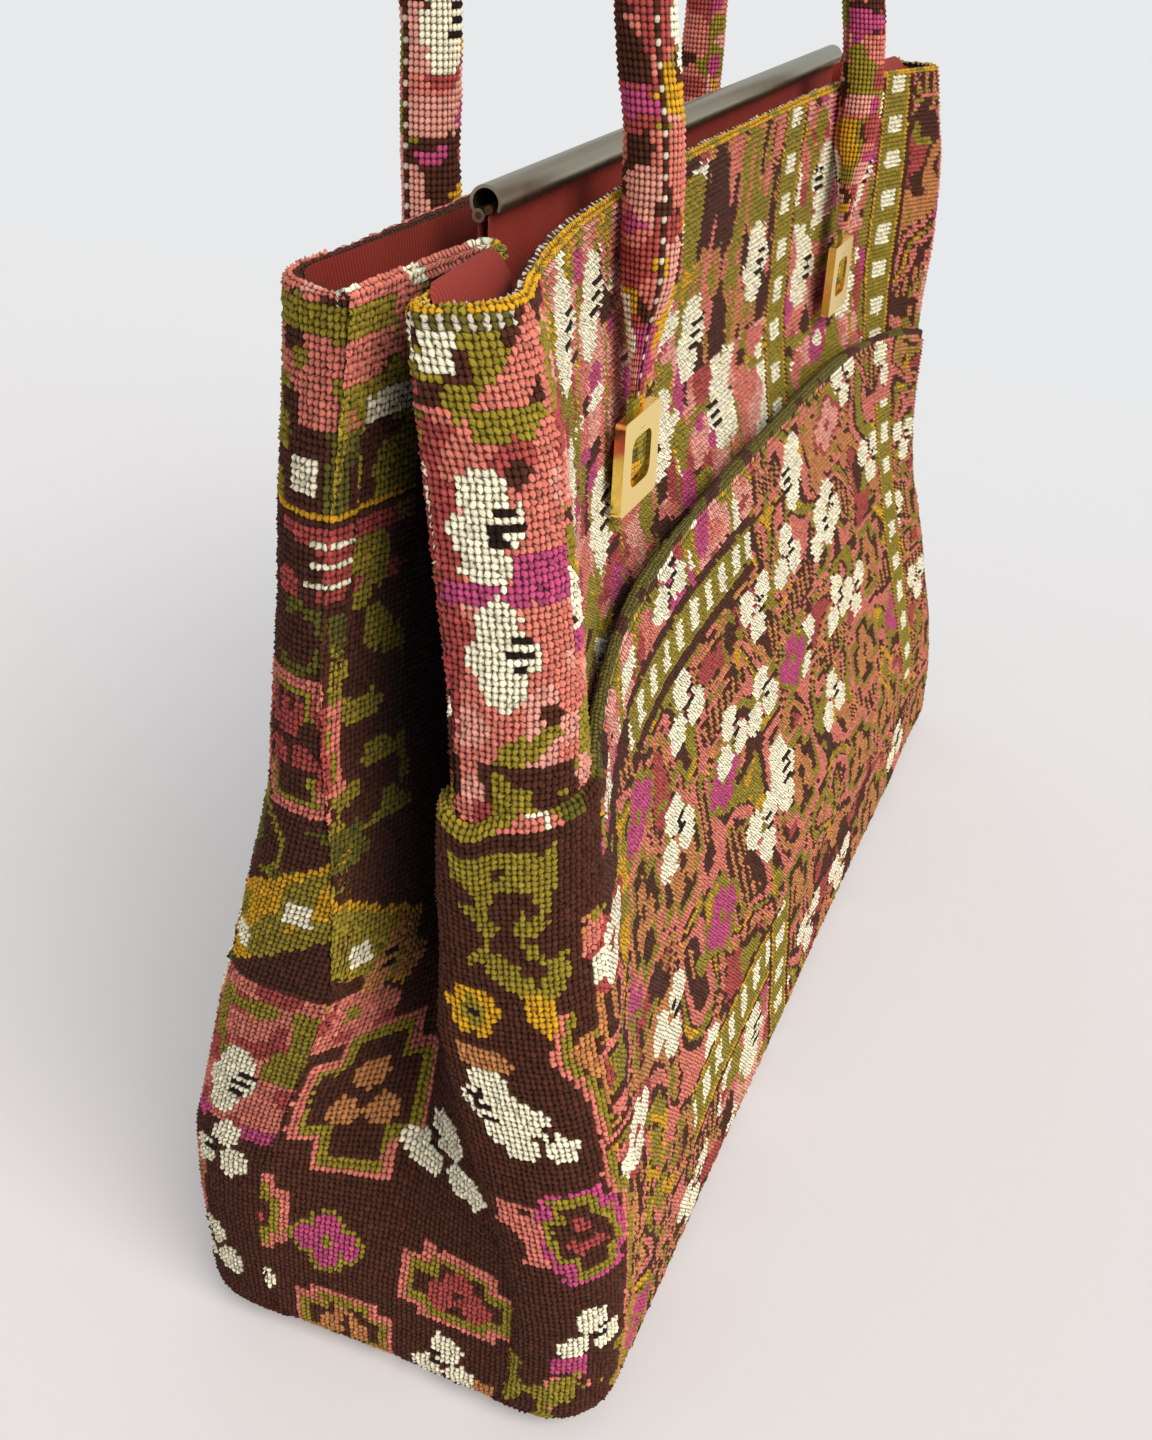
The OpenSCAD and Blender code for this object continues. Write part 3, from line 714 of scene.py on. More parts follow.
# %% chart of the back panel
def lobe(c, s, t, across, within):
    """The back lobe's narrow face, bands and motifs from its rim down to the base."""
    near = c.seen_from(across, within)
    rough = hills(s, t, 6, 41)
    near.fill(near.box(-40, 40, 0, 300), BROWN)
    near.fill((rough > 0.4) & near.box(-40, 40, 240, 275), SALMON)
    near.fill((hills(s, t, 5, 42) > 0.62) & near.box(-40, 40, 240, 275), OLIVE)
    near.fill(near.box(-40, 30, 258, 264), OLIVE)
    near.fill(near.box(12, 40, 224, 250) & (rough > 0.28), OLIVE)
    near.fill(near.box(-40, 40, 223, 225), MUSTARD)
    near.fill(near.box(-40, 13, 225, 240) & (rough > 0.55), MOSS)
    near.fill(near.box(-40, 40, 206, 222) & (hills(s, t, 6, 46) > 0.5), ROSE)
    near.fill(near.box(18, 40, 150, 222) & (hills(s, t, 6, 47) > 0.5), OLIVE)
    for k in (0, 1, 2):
        near.fill(near.box(-6, 4, 209 + 4 * k, 210.5 + 4 * k), CREAM)
    near.fill(near.box(3, 10, 228, 234.5), CREAM)
    near.fill(near.box(-14, -8, 232, 239), CREAM)
    near.fill(near.box(24, 40, 240, 247), CREAM)
    near.curl(6, 197, 7, 60, 260, MOSS, 3)
    near.leaf(-6, 195, 14, 1.2, MOSS)
    near.stepped(8, 172, 18, 24, ROSE)
    striped = np.floor(near.s / 2) % 2 == 0
    near.fill(near.box(-2, 18, 162, 184) & striped & (hills(s, t, 5, 49) > 0.35), ROSE)
    near.fill((hills(s, t, 7, 44) > 0.6) & near.box(-40, 40, 136, 152), MOSS)
    near.curl(20, 145, 8, 90, 180, OLIVE, 2)
    slanted = near.t + 0.55 * near.s
    near.fill((slanted > 124) & (slanted < 142), OLIVE)
    near.fill((slanted > 142) & (slanted < 144.5), MUSTARD)
    near.fill((slanted > 124) & (slanted < 142) & (hills(s, t, 6, 48) > 0.68), MUSTARD)
    near.fill(near.box(4, 11, 126, 132), CREAM)
    near.fill(near.box(21, 27, 115, 121), CREAM)
    near.fill(near.box(-40, 40, 62, 108) & (slanted < 122), SALMON)
    near.fill((hills(s, t, 6, 45) > 0.6) & near.box(-40, 40, 62, 108) & (slanted < 122), ROSE)
    near.fill((hills(s, t, 6, 40) > 0.68) & near.box(-40, 40, 80, 108) & (slanted < 122), OLIVE)
    near.pansy(14, 76, -1)
    near.fill(near.box(-40, 40, 59, 64) & (rough > 0.3), MAGENTA)
    near.trefoil(9, 54)
    near.stepped(24, 38, 14, 16, ROSE)
    near.trefoil(10, 20)


def chart_back(cloth):
    s, t, from_end = cloth.middles()
    c = Chart(s, t)
    scrolls(c, -240, -96, 0, 120, 31)
    meadow(c, -240, -96, 120, 300, 33)
    strokes(c, -84, -20, 150, 300, 34)
    scrolls(c, -84, 70, 0, 150, 35)
    meadow(c, -20, 70, 150, 300, 36)
    meadow(c, 82, 240, 0, 110, 37)
    scrolls(c, 82, 240, 110, 300, 38)
    for s0, t0, s1, t1 in ((-90, 0, -90, 275), (76, 0, 76, 275), (-90, 150, 76, 150), (76, 110, 200, 110),
                           (-200, 120, -90, 120)):
        c.band(s0, t0, s1, t1)
    for end in (LEFT, RIGHT):
        lobe(c, s, t, from_end - TUCK, (s * end > 0) & (from_end < TUCK + 28))
    # painted shade: the back lobe's narrow face is darkened to 0.8 towards each end of the bag
    c.painted_shade = lerp(0.8, 1, smooth((from_end - TUCK - 14) / 16))
    edge_rows(c, t, BAG_HEIGHT - CLOTH - WALL_ROLL, WALL_ROLL, SALMON, BLUSH, False)
    return c


keep_chart("back_panel", chart_back(sheets["back_panel"]))

# %% [markdown]
# The pocket has a brown ground with scrolls, a level band under its lip and three more bands lower down.
# Where it wraps onto the near end, tendrils, a rosette and flowers stand on plain brown.

# %% chart of the pocket
def chart_pocket(cloth):
    s, t, from_end = cloth.middles()
    c = Chart(s, t)
    scrolls(c, -240, 240, 0, 152, 51, 0.6)
    meadow(c, -180, -14, 160, 220, 53, False)
    scrolls(c, -14, 150, 118, 220, 54, 0.8)
    scrolls(c, 150, 240, 150, 220, 57, 0.6)
    meadow(c, -100, -46, 0, 36, 55, False)
    c.band(-132, 153, -18, 153)
    c.band(-128, 40, -40, 40, 16)
    c.band(-40, 0, -40, 48, 18)
    c.band(146, 40, 146, 152, 18)
    for x, z, turn in ((57, 131, 1), (86, 100, -1), (44, 78, 1), (-54, 111, 1), (-20, 135, -1),
                       (-107, 113, 1), (-88, 169, 1)):
        c.trefoil(x, z, CREAM, turn, WIDE)
    c.pansy(-19, 82, 1, CREAM, WIDE)
    c.pansy(29, 158, -1, CREAM, WIDE)
    c.pansy(-70, 20, 1, CREAM, WIDE)
    c.blossom(9, 107, MAGENTA, OLIVE, WIDE)
    c.blossom(72, 160, BLUSH, ROSE, WIDE)
    c.stepped(-139, 112, 24, 24)
    c.diamond(-158, 58, 11)
    c.diamond(110, 60, 10)
    for end in (LEFT, RIGHT):
        reach = TUCK + (36 if end == LEFT else 26) + 8 * (hills(s, t, 9, 69) - 0.5)
        near = c.seen_from(from_end - TUCK - 3, (s * end > 0) & (from_end < reach))
        near.fill(near.box(-12, 36 if end == LEFT else 8, 0, 175), BROWN)
        near.fill(near.box(1, 24, 159, 170) & (hills(s, t, 5, 60) > 0.42), OLIVE)
        near.curl(15, 155, 7, -60, 300, OLIVE, 3.6)
        near.curl(2, 148, 8, -70, 150, OLIVE, 2.2)
        near.curl(26, 150, 9, 150, 130, OLIVE, 2.2)
        near.leaf(14, 138, 14, 2.4)
        near.leaf(24, 136, 13, 1.2)
        near.leaf(22, 128, 10, 2.2, MUSTARD)
        near.rosette(6, 127, 6.5)
        near.fill(near.box(1, 13, 112, 117), TAN)
        near.pansy(7, 101, -1)
        near.trefoil(15, 95)
        near.stepped(17, 66, 13, 19, ROSE, MAGENTA)
        near.fill(near.box(-2, 8, 58, 76) & (hills(s, t, 5, 65) > 0.4), SALMON)
        near.trefoil(14, 34)
        near.fill(near.box(4, 13, 22, 27), MAGENTA)
        near.curl(8, 14, 6, 0, 260, SALMON, 1.6)
        near.curl(8, 14, 4, 0, 260, OLIVE, 1.6)
        near.fill(near.box(-12, 36, 0, 24) & (hills(s, t, 5, 62) > 0.6), OLIVE)
        edge = hills(0 * s, t, 12, 63) * 8 - 4
        near.fill((np.abs(near.s - 27 - edge) < 0.9) & near.box(-12, 36, 0, 128), SALMON)
        near.fill((np.abs(near.s - 29.2 - edge) < 1.2) & near.box(-12, 36, 0, 128), OLIVE)
        near.fill((near.s - 31 - edge > 0) & (hills(s, t, 7, 64) > 0.4) & near.box(-12, 36, 20, 150), TAN)
    c.frayed(0.1, 2)
    top = cloth_top(cloth)
    rim, round_end = (t > top - 1.4) & (t < top + 5.4), np.abs(s) >= 190
    c.fill(rim & ~round_end, MOSS)
    c.fill(rim & ~round_end & (hills(s, t, 8, 66) > 0.6), BROWN)
    c.fill(rim & round_end, SALMON)
    c.fill(rim & round_end & (hills(s, t, 6, 67) > 0.58), OLIVE)
    c.fill(rim & round_end & (hills(s, t, 5, 68) > 0.74), CREAM)
    c.fill(t >= top + 5.4, DARK)
    return c


keep_chart("front_pocket", chart_pocket(sheets["front_pocket"]))

# %% [markdown]
# The gusset carries the back lobe's pattern on one wall of its fold and meets the flat triangle of
# outlined motifs above the base. Light hardly reaches into the fold, so the chart also dims the loops
# there.

# %% charts of the gussets and the base
def chart_gusset(cloth):
    s, t, from_end = cloth.middles()
    c = Chart(s, t)
    lobe(c, s, t, from_end + 16, s > 12)
    front = c.seen_from(from_end, s < -12)
    for seed, level, yarn in ((71, 0.5, ROSE), (72, 0.62, OLIVE), (73, 0.7, CREAM)):
        front.fill(front.box(-5, 60, 120, 300) & (hills(s, t, 8, seed) > level), yarn)
    c.fill(c.box(-40, 40, 0, 92), BROWN)
    c.trefoil(17, 112, TAN)
    c.stepped(13, 74, 24, 32)
    c.trefoil(-12, 66, wide=1.6)
    c.blossom(17, 34, MAGENTA, OLIVE)
    c.stepped(-19, 32, 24, 13, ROSE, SALMON)
    c.stepped(12, 8, 19, 14)
    c.trefoil(-16, 8)
    c.fill(c.disc(-27, 4, 3.4), TAN)
    c.trefoil(40, 18)
    c.pansy(42, 58, -1)
    c.stepped(38, 38, 12, 16, ROSE)
    c.frayed(0.07, 3)
    top = cloth_top(cloth) - 2.2
    c.fill(t > top, SALMON)
    c.fill((t > top) & (hills(s, t, 6, 92) > 0.6), CREAM)
    c.fill((t > top) & (s < 0), MUSTARD)
    c.fill((t > top) & (s < 0) & (hills(s, t, 7, 93) > 0.5), OLIVE)
    v = t / (WALL_HEIGHT + GUSSET_ROLL)
    c.painted_shade = 1 - 0.84 * smooth((from_end - 3) / 20) * look(FOLD, v) * smooth((1.02 - v) * 14)
    return c


def chart_base(cloth):
    s, t, _ = cloth.middles()
    c = Chart(s, t)
    scrolls(c, -240, 240, 0, 130, 81)
    return c


for name in ("left_gusset", "right_gusset"):
    keep_chart(name, chart_gusset(sheets[name]))
keep_chart("base_panel", chart_base(sheets["base_panel"]))

# %% [markdown]
# ## Materials
# A finish in Blender is a tree of shader nodes. Adding and linking each node by hand makes long code, so
# one small class lets sockets be written as sums and products, and every operator adds its own Math node.

# %% sockets
class Wire:
    """A shader socket that takes part in sums and products; every use adds a node."""

    def __init__(self, tree, socket):
        self.tree, self.socket = tree, socket

    def node(self, kind, inputs, output=0, **settings):
        made = self.tree.nodes.new(kind)
        for name, value in settings.items():
            setattr(made, name, value)
        for name, value in inputs.items():
            if isinstance(value, Wire):
                self.tree.links.new(value.socket, made.inputs[name])
            else:
                made.inputs[name].default_value = value
        return Wire(self.tree, made.outputs[output])

    def math(self, operation, *values):
        return self.node("ShaderNodeMath", dict(enumerate(values)), operation=operation)

    def __add__(self, other):
        return self.math("ADD", self, other)

    def __radd__(self, other):
        return self.math("ADD", other, self)

    def __sub__(self, other):
        return self.math("SUBTRACT", self, other)

    def __rsub__(self, other):
        return self.math("SUBTRACT", other, self)

    def __mul__(self, other):
        return self.math("MULTIPLY", self, other)

    def __rmul__(self, other):
        return self.math("MULTIPLY", other, self)

    def scaled(self, factor):
        return self.node("ShaderNodeVectorMath", {0: self, "Scale": factor}, operation="SCALE")

    def feeds(self, shader, name):
        self.tree.links.new(self.socket, shader.inputs[name])


def new_material(name, **constants):
    """A material with a Principled shader, its constants set, and a wire to build on."""
    made = bpy.data.materials.new(name)
    made.use_nodes = True
    tree = made.node_tree
    shader = next(n for n in tree.nodes if n.type == "BSDF_PRINCIPLED")
    for key, value in constants.items():
        shader.inputs[key.replace("_", " ")].default_value = value
    return made, shader, Wire(tree, None)


def attribute(wire, name, output):
    return wire.node("ShaderNodeAttribute", {}, output, attribute_name=name)


def noise(wire, where, scale, detail=3.0, rough=0.5):
    inputs = {"Vector": where, "Scale": scale, "Detail": detail, "Roughness": rough}
    return wire.node("ShaderNodeTexNoise", inputs)


def position(wire):
    return wire.node("ShaderNodeTexCoord", {}, "Object")


def split(wire, vector):
    """The first two parts of a vector."""
    return [wire.node("ShaderNodeSeparateXYZ", {0: vector}, k) for k in (0, 1)]


def plain_colour(wire, *srgb):
    made = wire.node("ShaderNodeRGB", {})
    made.socket.default_value = (*linear(*srgb), 1)
    return made


def emboss(wire, shader, height, strength, distance):
    """Tilts the shader's normal by a height; the distance is in millimetres."""
    inputs = {"Height": height, "Strength": strength, "Distance": distance * MM}
    wire.node("ShaderNodeBump", inputs, "Normal").feeds(shader, "Normal")


MATERIALS = {}
print("a wire takes part in:", ", ".join(name for name in vars(Wire) if name.startswith("__r")))

# %% [markdown]
# Wool is dull and soft, and shade falls where its loops meet, which the material paints into the colour.
# The mesh gives each loop its yarn and its place in the grid. Modelling every fibre would cost too many
# faces, so the material rounds each loop into a dome, slants its strands and roughens it with fine noise.

# %% tapestry
def tapestry():
    made, shader, w = new_material("tapestry", Roughness=0.95, Sheen_Weight=0.04, Sheen_Roughness=0.5,
                                   Specular_IOR_Level=0.12)
    yarn = attribute(w, "yarn", "Color")
    loop = attribute(w, "loop", "Vector")
    u, v = split(w, loop)
    stray = noise(w, loop, 1.7, 1.0) - 0.5
    across = u.math("FRACT", u) * 2 - 1
    up = v.math("FRACT", v) * 2 - 1 + across * 0.22 + stray * 0.7
    away = across * across * 0.95 + up * up * 0.8
    left = 1 - away.math("MINIMUM", away, 1)
    dome = left.math("SQRT", left)
    fibre = noise(w, position(w), 2600.0, 2.0, 0.6)
    strand = across * 2.6 + up * 5.2
    twist = strand.math("SINE", strand)
    # painted shade: the yarn's colour darkens from the top of each loop's dome to the gaps between loops
    yarn.scaled(0.16 + dome * 1.02 + (fibre - 0.5) * 0.4).feeds(shader, "Base Color")
    emboss(w, shader, dome * 0.9 + twist * 0.08 + fibre * 0.22, 0.85, 0.65)
    return made


MATERIALS["tapestry"] = tapestry()
print("tapestry:", len(MATERIALS["tapestry"].node_tree.nodes), "nodes")

# %% [markdown]
# The lining is brick-red twill, with fine slanted ribs and some wear. The ribs are far too fine to model,
# so they are a sine across the cloth's own lengths.

# %% twill
def twill():
    made, shader, w = new_material("twill", Roughness=0.65, Sheen_Weight=0.03, Specular_IOR_Level=0.2)
    u, v = split(w, attribute(w, "loop", "Vector"))
    slant = u * 6 + v * 2.4
    rib = slant.math("SINE", slant)
    worn = noise(w, position(w), 60.0, 4.0)
    # painted shade: the colour darkens in the grooves between the ribs; the noise in it is wear
    plain_colour(w, 146, 50, 38).scaled(0.76 + rib * 0.17 + worn * 0.4).feeds(shader, "Base Color")
    emboss(w, shader, rib + worn * 2, 0.35, 0.3)
    return made


MATERIALS["lining"] = twill()
print("twill:", len(MATERIALS["lining"].node_tree.nodes), "nodes")

# %% [markdown]
# The tube is worn nickel plate, the wires are dull with some rust, and the rings are bright brass. One
# metal with streaks of wear in its colour and gloss does for all three.

# %% metals and card
def metal(name, colour, rough, streak, scale):
    made, shader, w = new_material(name, Metallic=1.0)
    worn = noise(w, position(w), scale, 5.0, 0.6)
    plain_colour(w, *colour).scaled(1.0 - streak + worn * 2 * streak).feeds(shader, "Base Color")
    (rough - 0.1 + worn * 0.2).feeds(shader, "Roughness")
    return made


MATERIALS["tube_metal"] = metal("nickel", (176, 170, 148), 0.34, 0.12, 220.0)
MATERIALS["wire_metal"] = metal("dull_wire", (120, 84, 60), 0.55, 0.35, 400.0)
MATERIALS["ring_brass"] = metal("brass", (255, 218, 122), 0.24, 0.05, 300.0)
MATERIALS["board"] = new_material("card", Roughness=0.9, Base_Color=(*linear(150, 125, 95), 1))[0]
print("materials:", sorted(MATERIALS))

# %% [markdown]
# ## Meshes
# A wool loop is a small soft dome. A modelled loop set at every place would take millions of faces, so a
# cloth is one mesh with a few faces to a loop: four, high in the middle and low at the corners, where it
# is seen close to and on the outline; two or one further off; and one face to four loops where the cloth
# is hidden.

# %% plain meshes
def new_mesh(name, points, quads, slot):
    made = bpy.data.meshes.new(name)
    made.vertices.add(len(points))
    made.vertices.foreach_set("co", (np.asarray(points) * MM).astype(np.float32).ravel())
    made.loops.add(quads.size)
    made.loops.foreach_set("vertex_index", quads.astype(np.int32).ravel())
    made.polygons.add(len(quads))
    made.polygons.foreach_set("loop_start", np.arange(0, quads.size, 4, dtype=np.int32))
    made.update(calc_edges=True)
    made.shade_smooth()
    made.materials.append(MATERIALS[slot])
    obj = bpy.data.objects.new(name, made)
    bpy.context.scene.collection.objects.link(obj)
    return obj


def set_attribute(obj, name, domain, values):
    made = obj.data.attributes.new(name, "FLOAT_VECTOR", domain)
    made.data.foreach_set("vector", np.asarray(values, np.float32).ravel())


def set_bake_map(obj, across, up):
    """A map for baking: the cloth laid flat."""
    flat = np.stack([across, up], axis=1)
    flat = (flat - flat.min(0)) / (np.ptp(flat, axis=0) + 1e-9) * 0.98 + 0.01
    corner = np.zeros(len(obj.data.loops), np.int32)
    obj.data.loops.foreach_get("vertex_index", corner)
    obj.data.uv_layers.new(name="OFBake").data.foreach_set("uv", flat[corner].astype(np.float32).ravel())


def set_loop_grid(obj, rows, cols):
    """Counts the loops along and up a grid of half loops."""
    up, along = np.indices((rows, cols))
    set_attribute(obj, "loop", "POINT", np.stack([along / 2, up / 2, 0 * up], axis=2))
    set_bake_map(obj, along.ravel(), up.ravel())


def grid_quads(rows, cols, closed=False):
    """Corners of the faces of a grid of points. A closed grid is a tube."""
    j, i = np.indices((rows - 1, cols if closed else cols - 1))
    beside = (i + 1) % cols
    corners = j * cols + i, j * cols + beside, (j + 1) * cols + beside, (j + 1) * cols + i
    return np.stack(corners, axis=-1).reshape(-1, 4)


def facing(points, quads, outward):
    """The faces, turned so that on the whole they look outward."""
    a, b, d = (points[quads[:, k]] for k in (0, 1, 3))
    return quads if (np.cross(b - a, d - a) * outward).sum() >= 0 else quads[:, ::-1]


print("faces of 3 by 3 points:", len(grid_quads(3, 3)), "open,", len(grid_quads(3, 3, True)), "closed")

# %% [markdown]
# The cloth's loops are raised from its rows along their normals, with small random strays so that no two
# are alike and slow waves so that the cloth hangs slack. Each face takes the yarn of its loop from the
# chart.

# %% looped meshes
LOOP_HIGH, LOOP_ROW_GAP, LOOP_COLUMN_GAP, LOOP_CORNER = 0.4, -0.05, -0.2, -0.4
LOOP_UNEVEN, LOOP_STRAY = 0.07, 0.15
SLACK, SLACK_SIZE = 1.6, 38
COARSE, FLAT, RIBBED, FINE = 0.25, 1, 2, 4


def loop_heights(rows, cols, seed):
    """Height of the pile at every half loop."""
    rng = np.random.default_rng(seed)
    j, i = np.indices((rows, cols))
    high = np.select([(i % 2 == 1) & (j % 2 == 1), (i % 2 == 1), (j % 2 == 1)],
                     [LOOP_HIGH, LOOP_ROW_GAP, LOOP_COLUMN_GAP], LOOP_CORNER)
    return high + rng.normal(0, LOOP_UNEVEN, (rows, cols))


def loop_faces(grain, there):
    """Corners of the faces, in half rows and half columns, of loops of each grain."""
    made = []
    for kind, down, wide in ((COARSE, 4, 4), (FLAT, 2, 2), (RIBBED, 1, 2), (FINE, 1, 1)):
        j, i = np.nonzero((grain == kind) & there)
        if kind == COARSE:
            whole = (j % 2 == 0) & (i % 2 == 0) & (j < grain.shape[0] - 1) & (i < grain.shape[1] - 1)
            j, i = j[whole], i[whole]
        for a in range(0, 2, down):
            for b in range(0, 2, wide):
                made.append(np.stack([2 * j + a, 2 * i + b, 2 * j + a + down, 2 * i + b + wide], axis=1))
    return np.concatenate(made)


def looped(name, cloth, chart, seed, grain):
    """A mesh of loops from a cloth and its chart. grain says how many faces each loop has."""
    rows, cols = cloth.along.shape
    up = np.arange(rows)[:, None] / 2 + 0 * cloth.along
    slack = (hills(cloth.along, up * ROW_PITCH, SLACK_SIZE, seed) - 0.5) * SLACK
    fine = np.pad(grain, ((0, 1), (0, 1)), "edge").repeat(2, 0).repeat(2, 1)[:rows, :cols] == FINE
    rib = np.where(np.arange(rows) % 2 == 1, LOOP_HIGH, LOOP_CORNER)[:, None]
    pile = np.where(fine, loop_heights(rows, cols, seed), rib)
    points = cloth.place + cloth.normal * (pile + slack)[:, :, None]
    points = points + np.random.default_rng(seed + 2).normal(0, LOOP_STRAY, points.shape)
    there = np.abs(cloth.along[1::2, 2::2] - cloth.along[1::2, :-2:2]) > 0.05
    box = loop_faces(grain, there)
    at = lambda a, b: box[:, a] * cols + box[:, b]
    used, quads = np.unique(np.stack([at(0, 1), at(0, 3), at(2, 3), at(2, 1)], axis=1), return_inverse=True)
    quads = quads.reshape(-1, 4)
    flat, outward = points.reshape(-1, 3)[used], cloth.normal.reshape(-1, 3)[used]
    obj = new_mesh(name, flat, facing(flat, quads, outward[quads[:, 0]]), "tapestry")
    shade = np.random.default_rng(seed + 1).normal(1, 0.12, chart.yarn.shape)[:, :, None]
    # the chart's painted shade darkens the yarn's colour
    colour = YARN_COLOURS[chart.yarn] * np.clip(shade, 0.7, 1.3) * chart.painted_shade[:, :, None]
    set_attribute(obj, "yarn", "FACE", colour[box[:, 0] // 2, box[:, 1] // 2])
    coords = np.stack([cloth.along / COLUMN_PITCH, up, 0 * up], axis=2).reshape(-1, 3)[used]
    set_attribute(obj, "loop", "POINT", coords)
    set_bake_map(obj, coords[:, 0], coords[:, 1])
    return obj


def grain_of(name, cloth):
    """Fine loops where a cloth is seen close to, coarse ones where it is hidden, and 0 for none."""
    s, t, from_end = cloth.middles()
    if name == "front_panel":
        inside = (t > cloth_top(cloth) + 0.75 * math.pi * WALL_ROLL) & (from_end < TUCK + 20)
        seen = np.where((from_end < 46) & (s < 0), FINE, RIBBED)
        return np.where(inside, 0, np.where(t < 144, COARSE, seen))
    if name == "back_panel":
        return np.where(from_end < 44, np.where(s < 0, FINE, RIBBED), FLAT)
    if name == "front_pocket":
        return np.where((from_end < 48) & (s < 0), FINE, np.where(t > 172, FLAT, RIBBED))
    if name == "left_gusset":
        return np.where((from_end < 22) | (t < 110), FINE, RIBBED)
    return np.full(s.shape, FLAT if name == "base_panel" else RIBBED)


for seed, (name, cloth) in enumerate(sheets.items()):
    made = looped(name + "_loops", cloth, charts[name], 100 + seed, grain_of(name, cloth))
    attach(made, "bag")
    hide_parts(name)

# %% [markdown]
# ## Handles
# Each handle is a strip of the same cloth rolled into a tube, with a raised seam. A swept circle would
# lack the seam and the loops, so its rows are laid round a route like those of the cloths. It flattens
# towards the rings.

# %% route of a handle
ring_low, ring_high = (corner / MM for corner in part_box("front_left_ring"))
handle_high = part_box("front_handle")[1] / MM
HANDLE_RADIUS = 6.5
LEG_X = -(ring_low.x + ring_high.x) / 2
LEG_RISE, LEG_STEPS, BOW_STEPS = 52, 200, 400
LEG_TOP = BAG_HEIGHT + LEG_RISE
BOW_HEIGHT = handle_high.z - HANDLE_RADIUS - LEG_TOP
TAB_WIDTH = 12.0
FLAT_RUN = 2.2 * 2 * HANDLE_RADIUS
FLAT_END = [(0, 0), (.2, .1), (.45, .3), (.7, .65), (.9, .93), (1, 1)]
TONGUE = 3.0
HANDLE_COLUMNS, SEAM_COLUMN = 30, 14
SEAM_HIGH, SEAM_RIDGE = 0.55, (0.4, 0.9, 1, 0.9, 0.4)
SEAM_TURN = math.radians(35)
HANDLE_LUMP = 0.9
PIVOTS = {j["name"]: [p / MM for p in j["pos_m"]] for j in frame["joints"]}


def leg_y(side, z):
    """How far out a handle's leg stands at the height z."""
    pivot = PIVOTS["front_handle_drop" if side == FRONT else "back_handle_drop"]
    foot = mouth_z(side, LEG_X)
    low = np.minimum(z, foot)
    v = share_at(side, LEG_X, low)
    wall = lerp(mid_half(side, v), end_half(side, v), (LEG_X / (HALF_LENGTH - CORNER_RADIUS)) ** FLARE)
    beside = np.maximum(wall + 2 * CLEARANCE + HANDLE_RADIUS, abs(pivot[1]))
    out = lerp(abs(pivot[1]), beside, smooth((low - pivot[2]) / FLAT_RUN))
    lean = 0.9 * HANDLE_RADIUS * smooth((z - foot) / (LEG_TOP - BAG_HEIGHT)) if side == FRONT else 0
    return side * (out - lean)


def handle_route(side):
    """The middle of a handle at every half loop, with its heading in the plane of the bow."""
    pivot_z = PIVOTS["front_handle_drop"][2]
    a = np.linspace(0, math.pi, BOW_STEPS)
    leg = np.linspace(pivot_z + 2 * CLEARANCE, LEG_TOP, LEG_STEPS)[:-1]
    x = np.concatenate([0 * leg - LEG_X, -LEG_X * np.cos(a), 0 * leg + LEG_X])
    z = np.concatenate([leg, LEG_TOP + BOW_HEIGHT * np.sin(a), leg[::-1]])
    along = np.concatenate([[0], np.cumsum(np.hypot(np.diff(x), np.diff(z)))])
    count = 2 * int(along[-1] / ROW_PITCH)
    at = np.linspace(0, along[-1], count + 1)
    x, z = np.interp(at, along, x), np.interp(at, along, z)
    way = np.stack([np.gradient(x), np.gradient(z)], axis=1)
    way /= np.linalg.norm(way, axis=1)[:, None]
    return x, leg_y(side, z), z, way, pivot_z


print(f"handle: legs {2 * LEG_X:.0f} mm apart, bow {BOW_HEIGHT:.0f} mm high")

# %% [markdown]
# The handle's pattern is the same mixture of wools with a few pansies. White stitches show along its seam.

# %% handles
def chart_handle(rows, seed):
    s, t = np.meshgrid(np.arange(HANDLE_COLUMNS) * COLUMN_PITCH, np.arange(rows) * ROW_PITCH)
    c = Chart(s, t, SALMON)
    patches = ((9, 0.56, OLIVE), (8, 0.62, BROWN), (8, 0.68, ROSE), (7, 0.7, BLUSH), (8, 0.78, MUSTARD),
               (8, 0.77, MAGENTA))
    for k, (size, level, yarn) in enumerate(patches):
        c.fill(hills(s, t, size, seed + k) > level, yarn)
    for k, (x, y, kind) in enumerate(spots((0, 0), (40, rows * ROW_PITCH), (20, 30), seed)):
        if kind < 3:
            c.pansy(x % 40, y, 1 if k % 2 else -1)
    c.frayed(0.1, seed)
    stitch = (np.arange(rows) % 3 == 0)[:, None]
    seam = (np.arange(HANDLE_COLUMNS) == SEAM_COLUMN)[None, :]
    c.fill(seam, BROWN)
    c.fill(seam & stitch, LINEN)
    return c


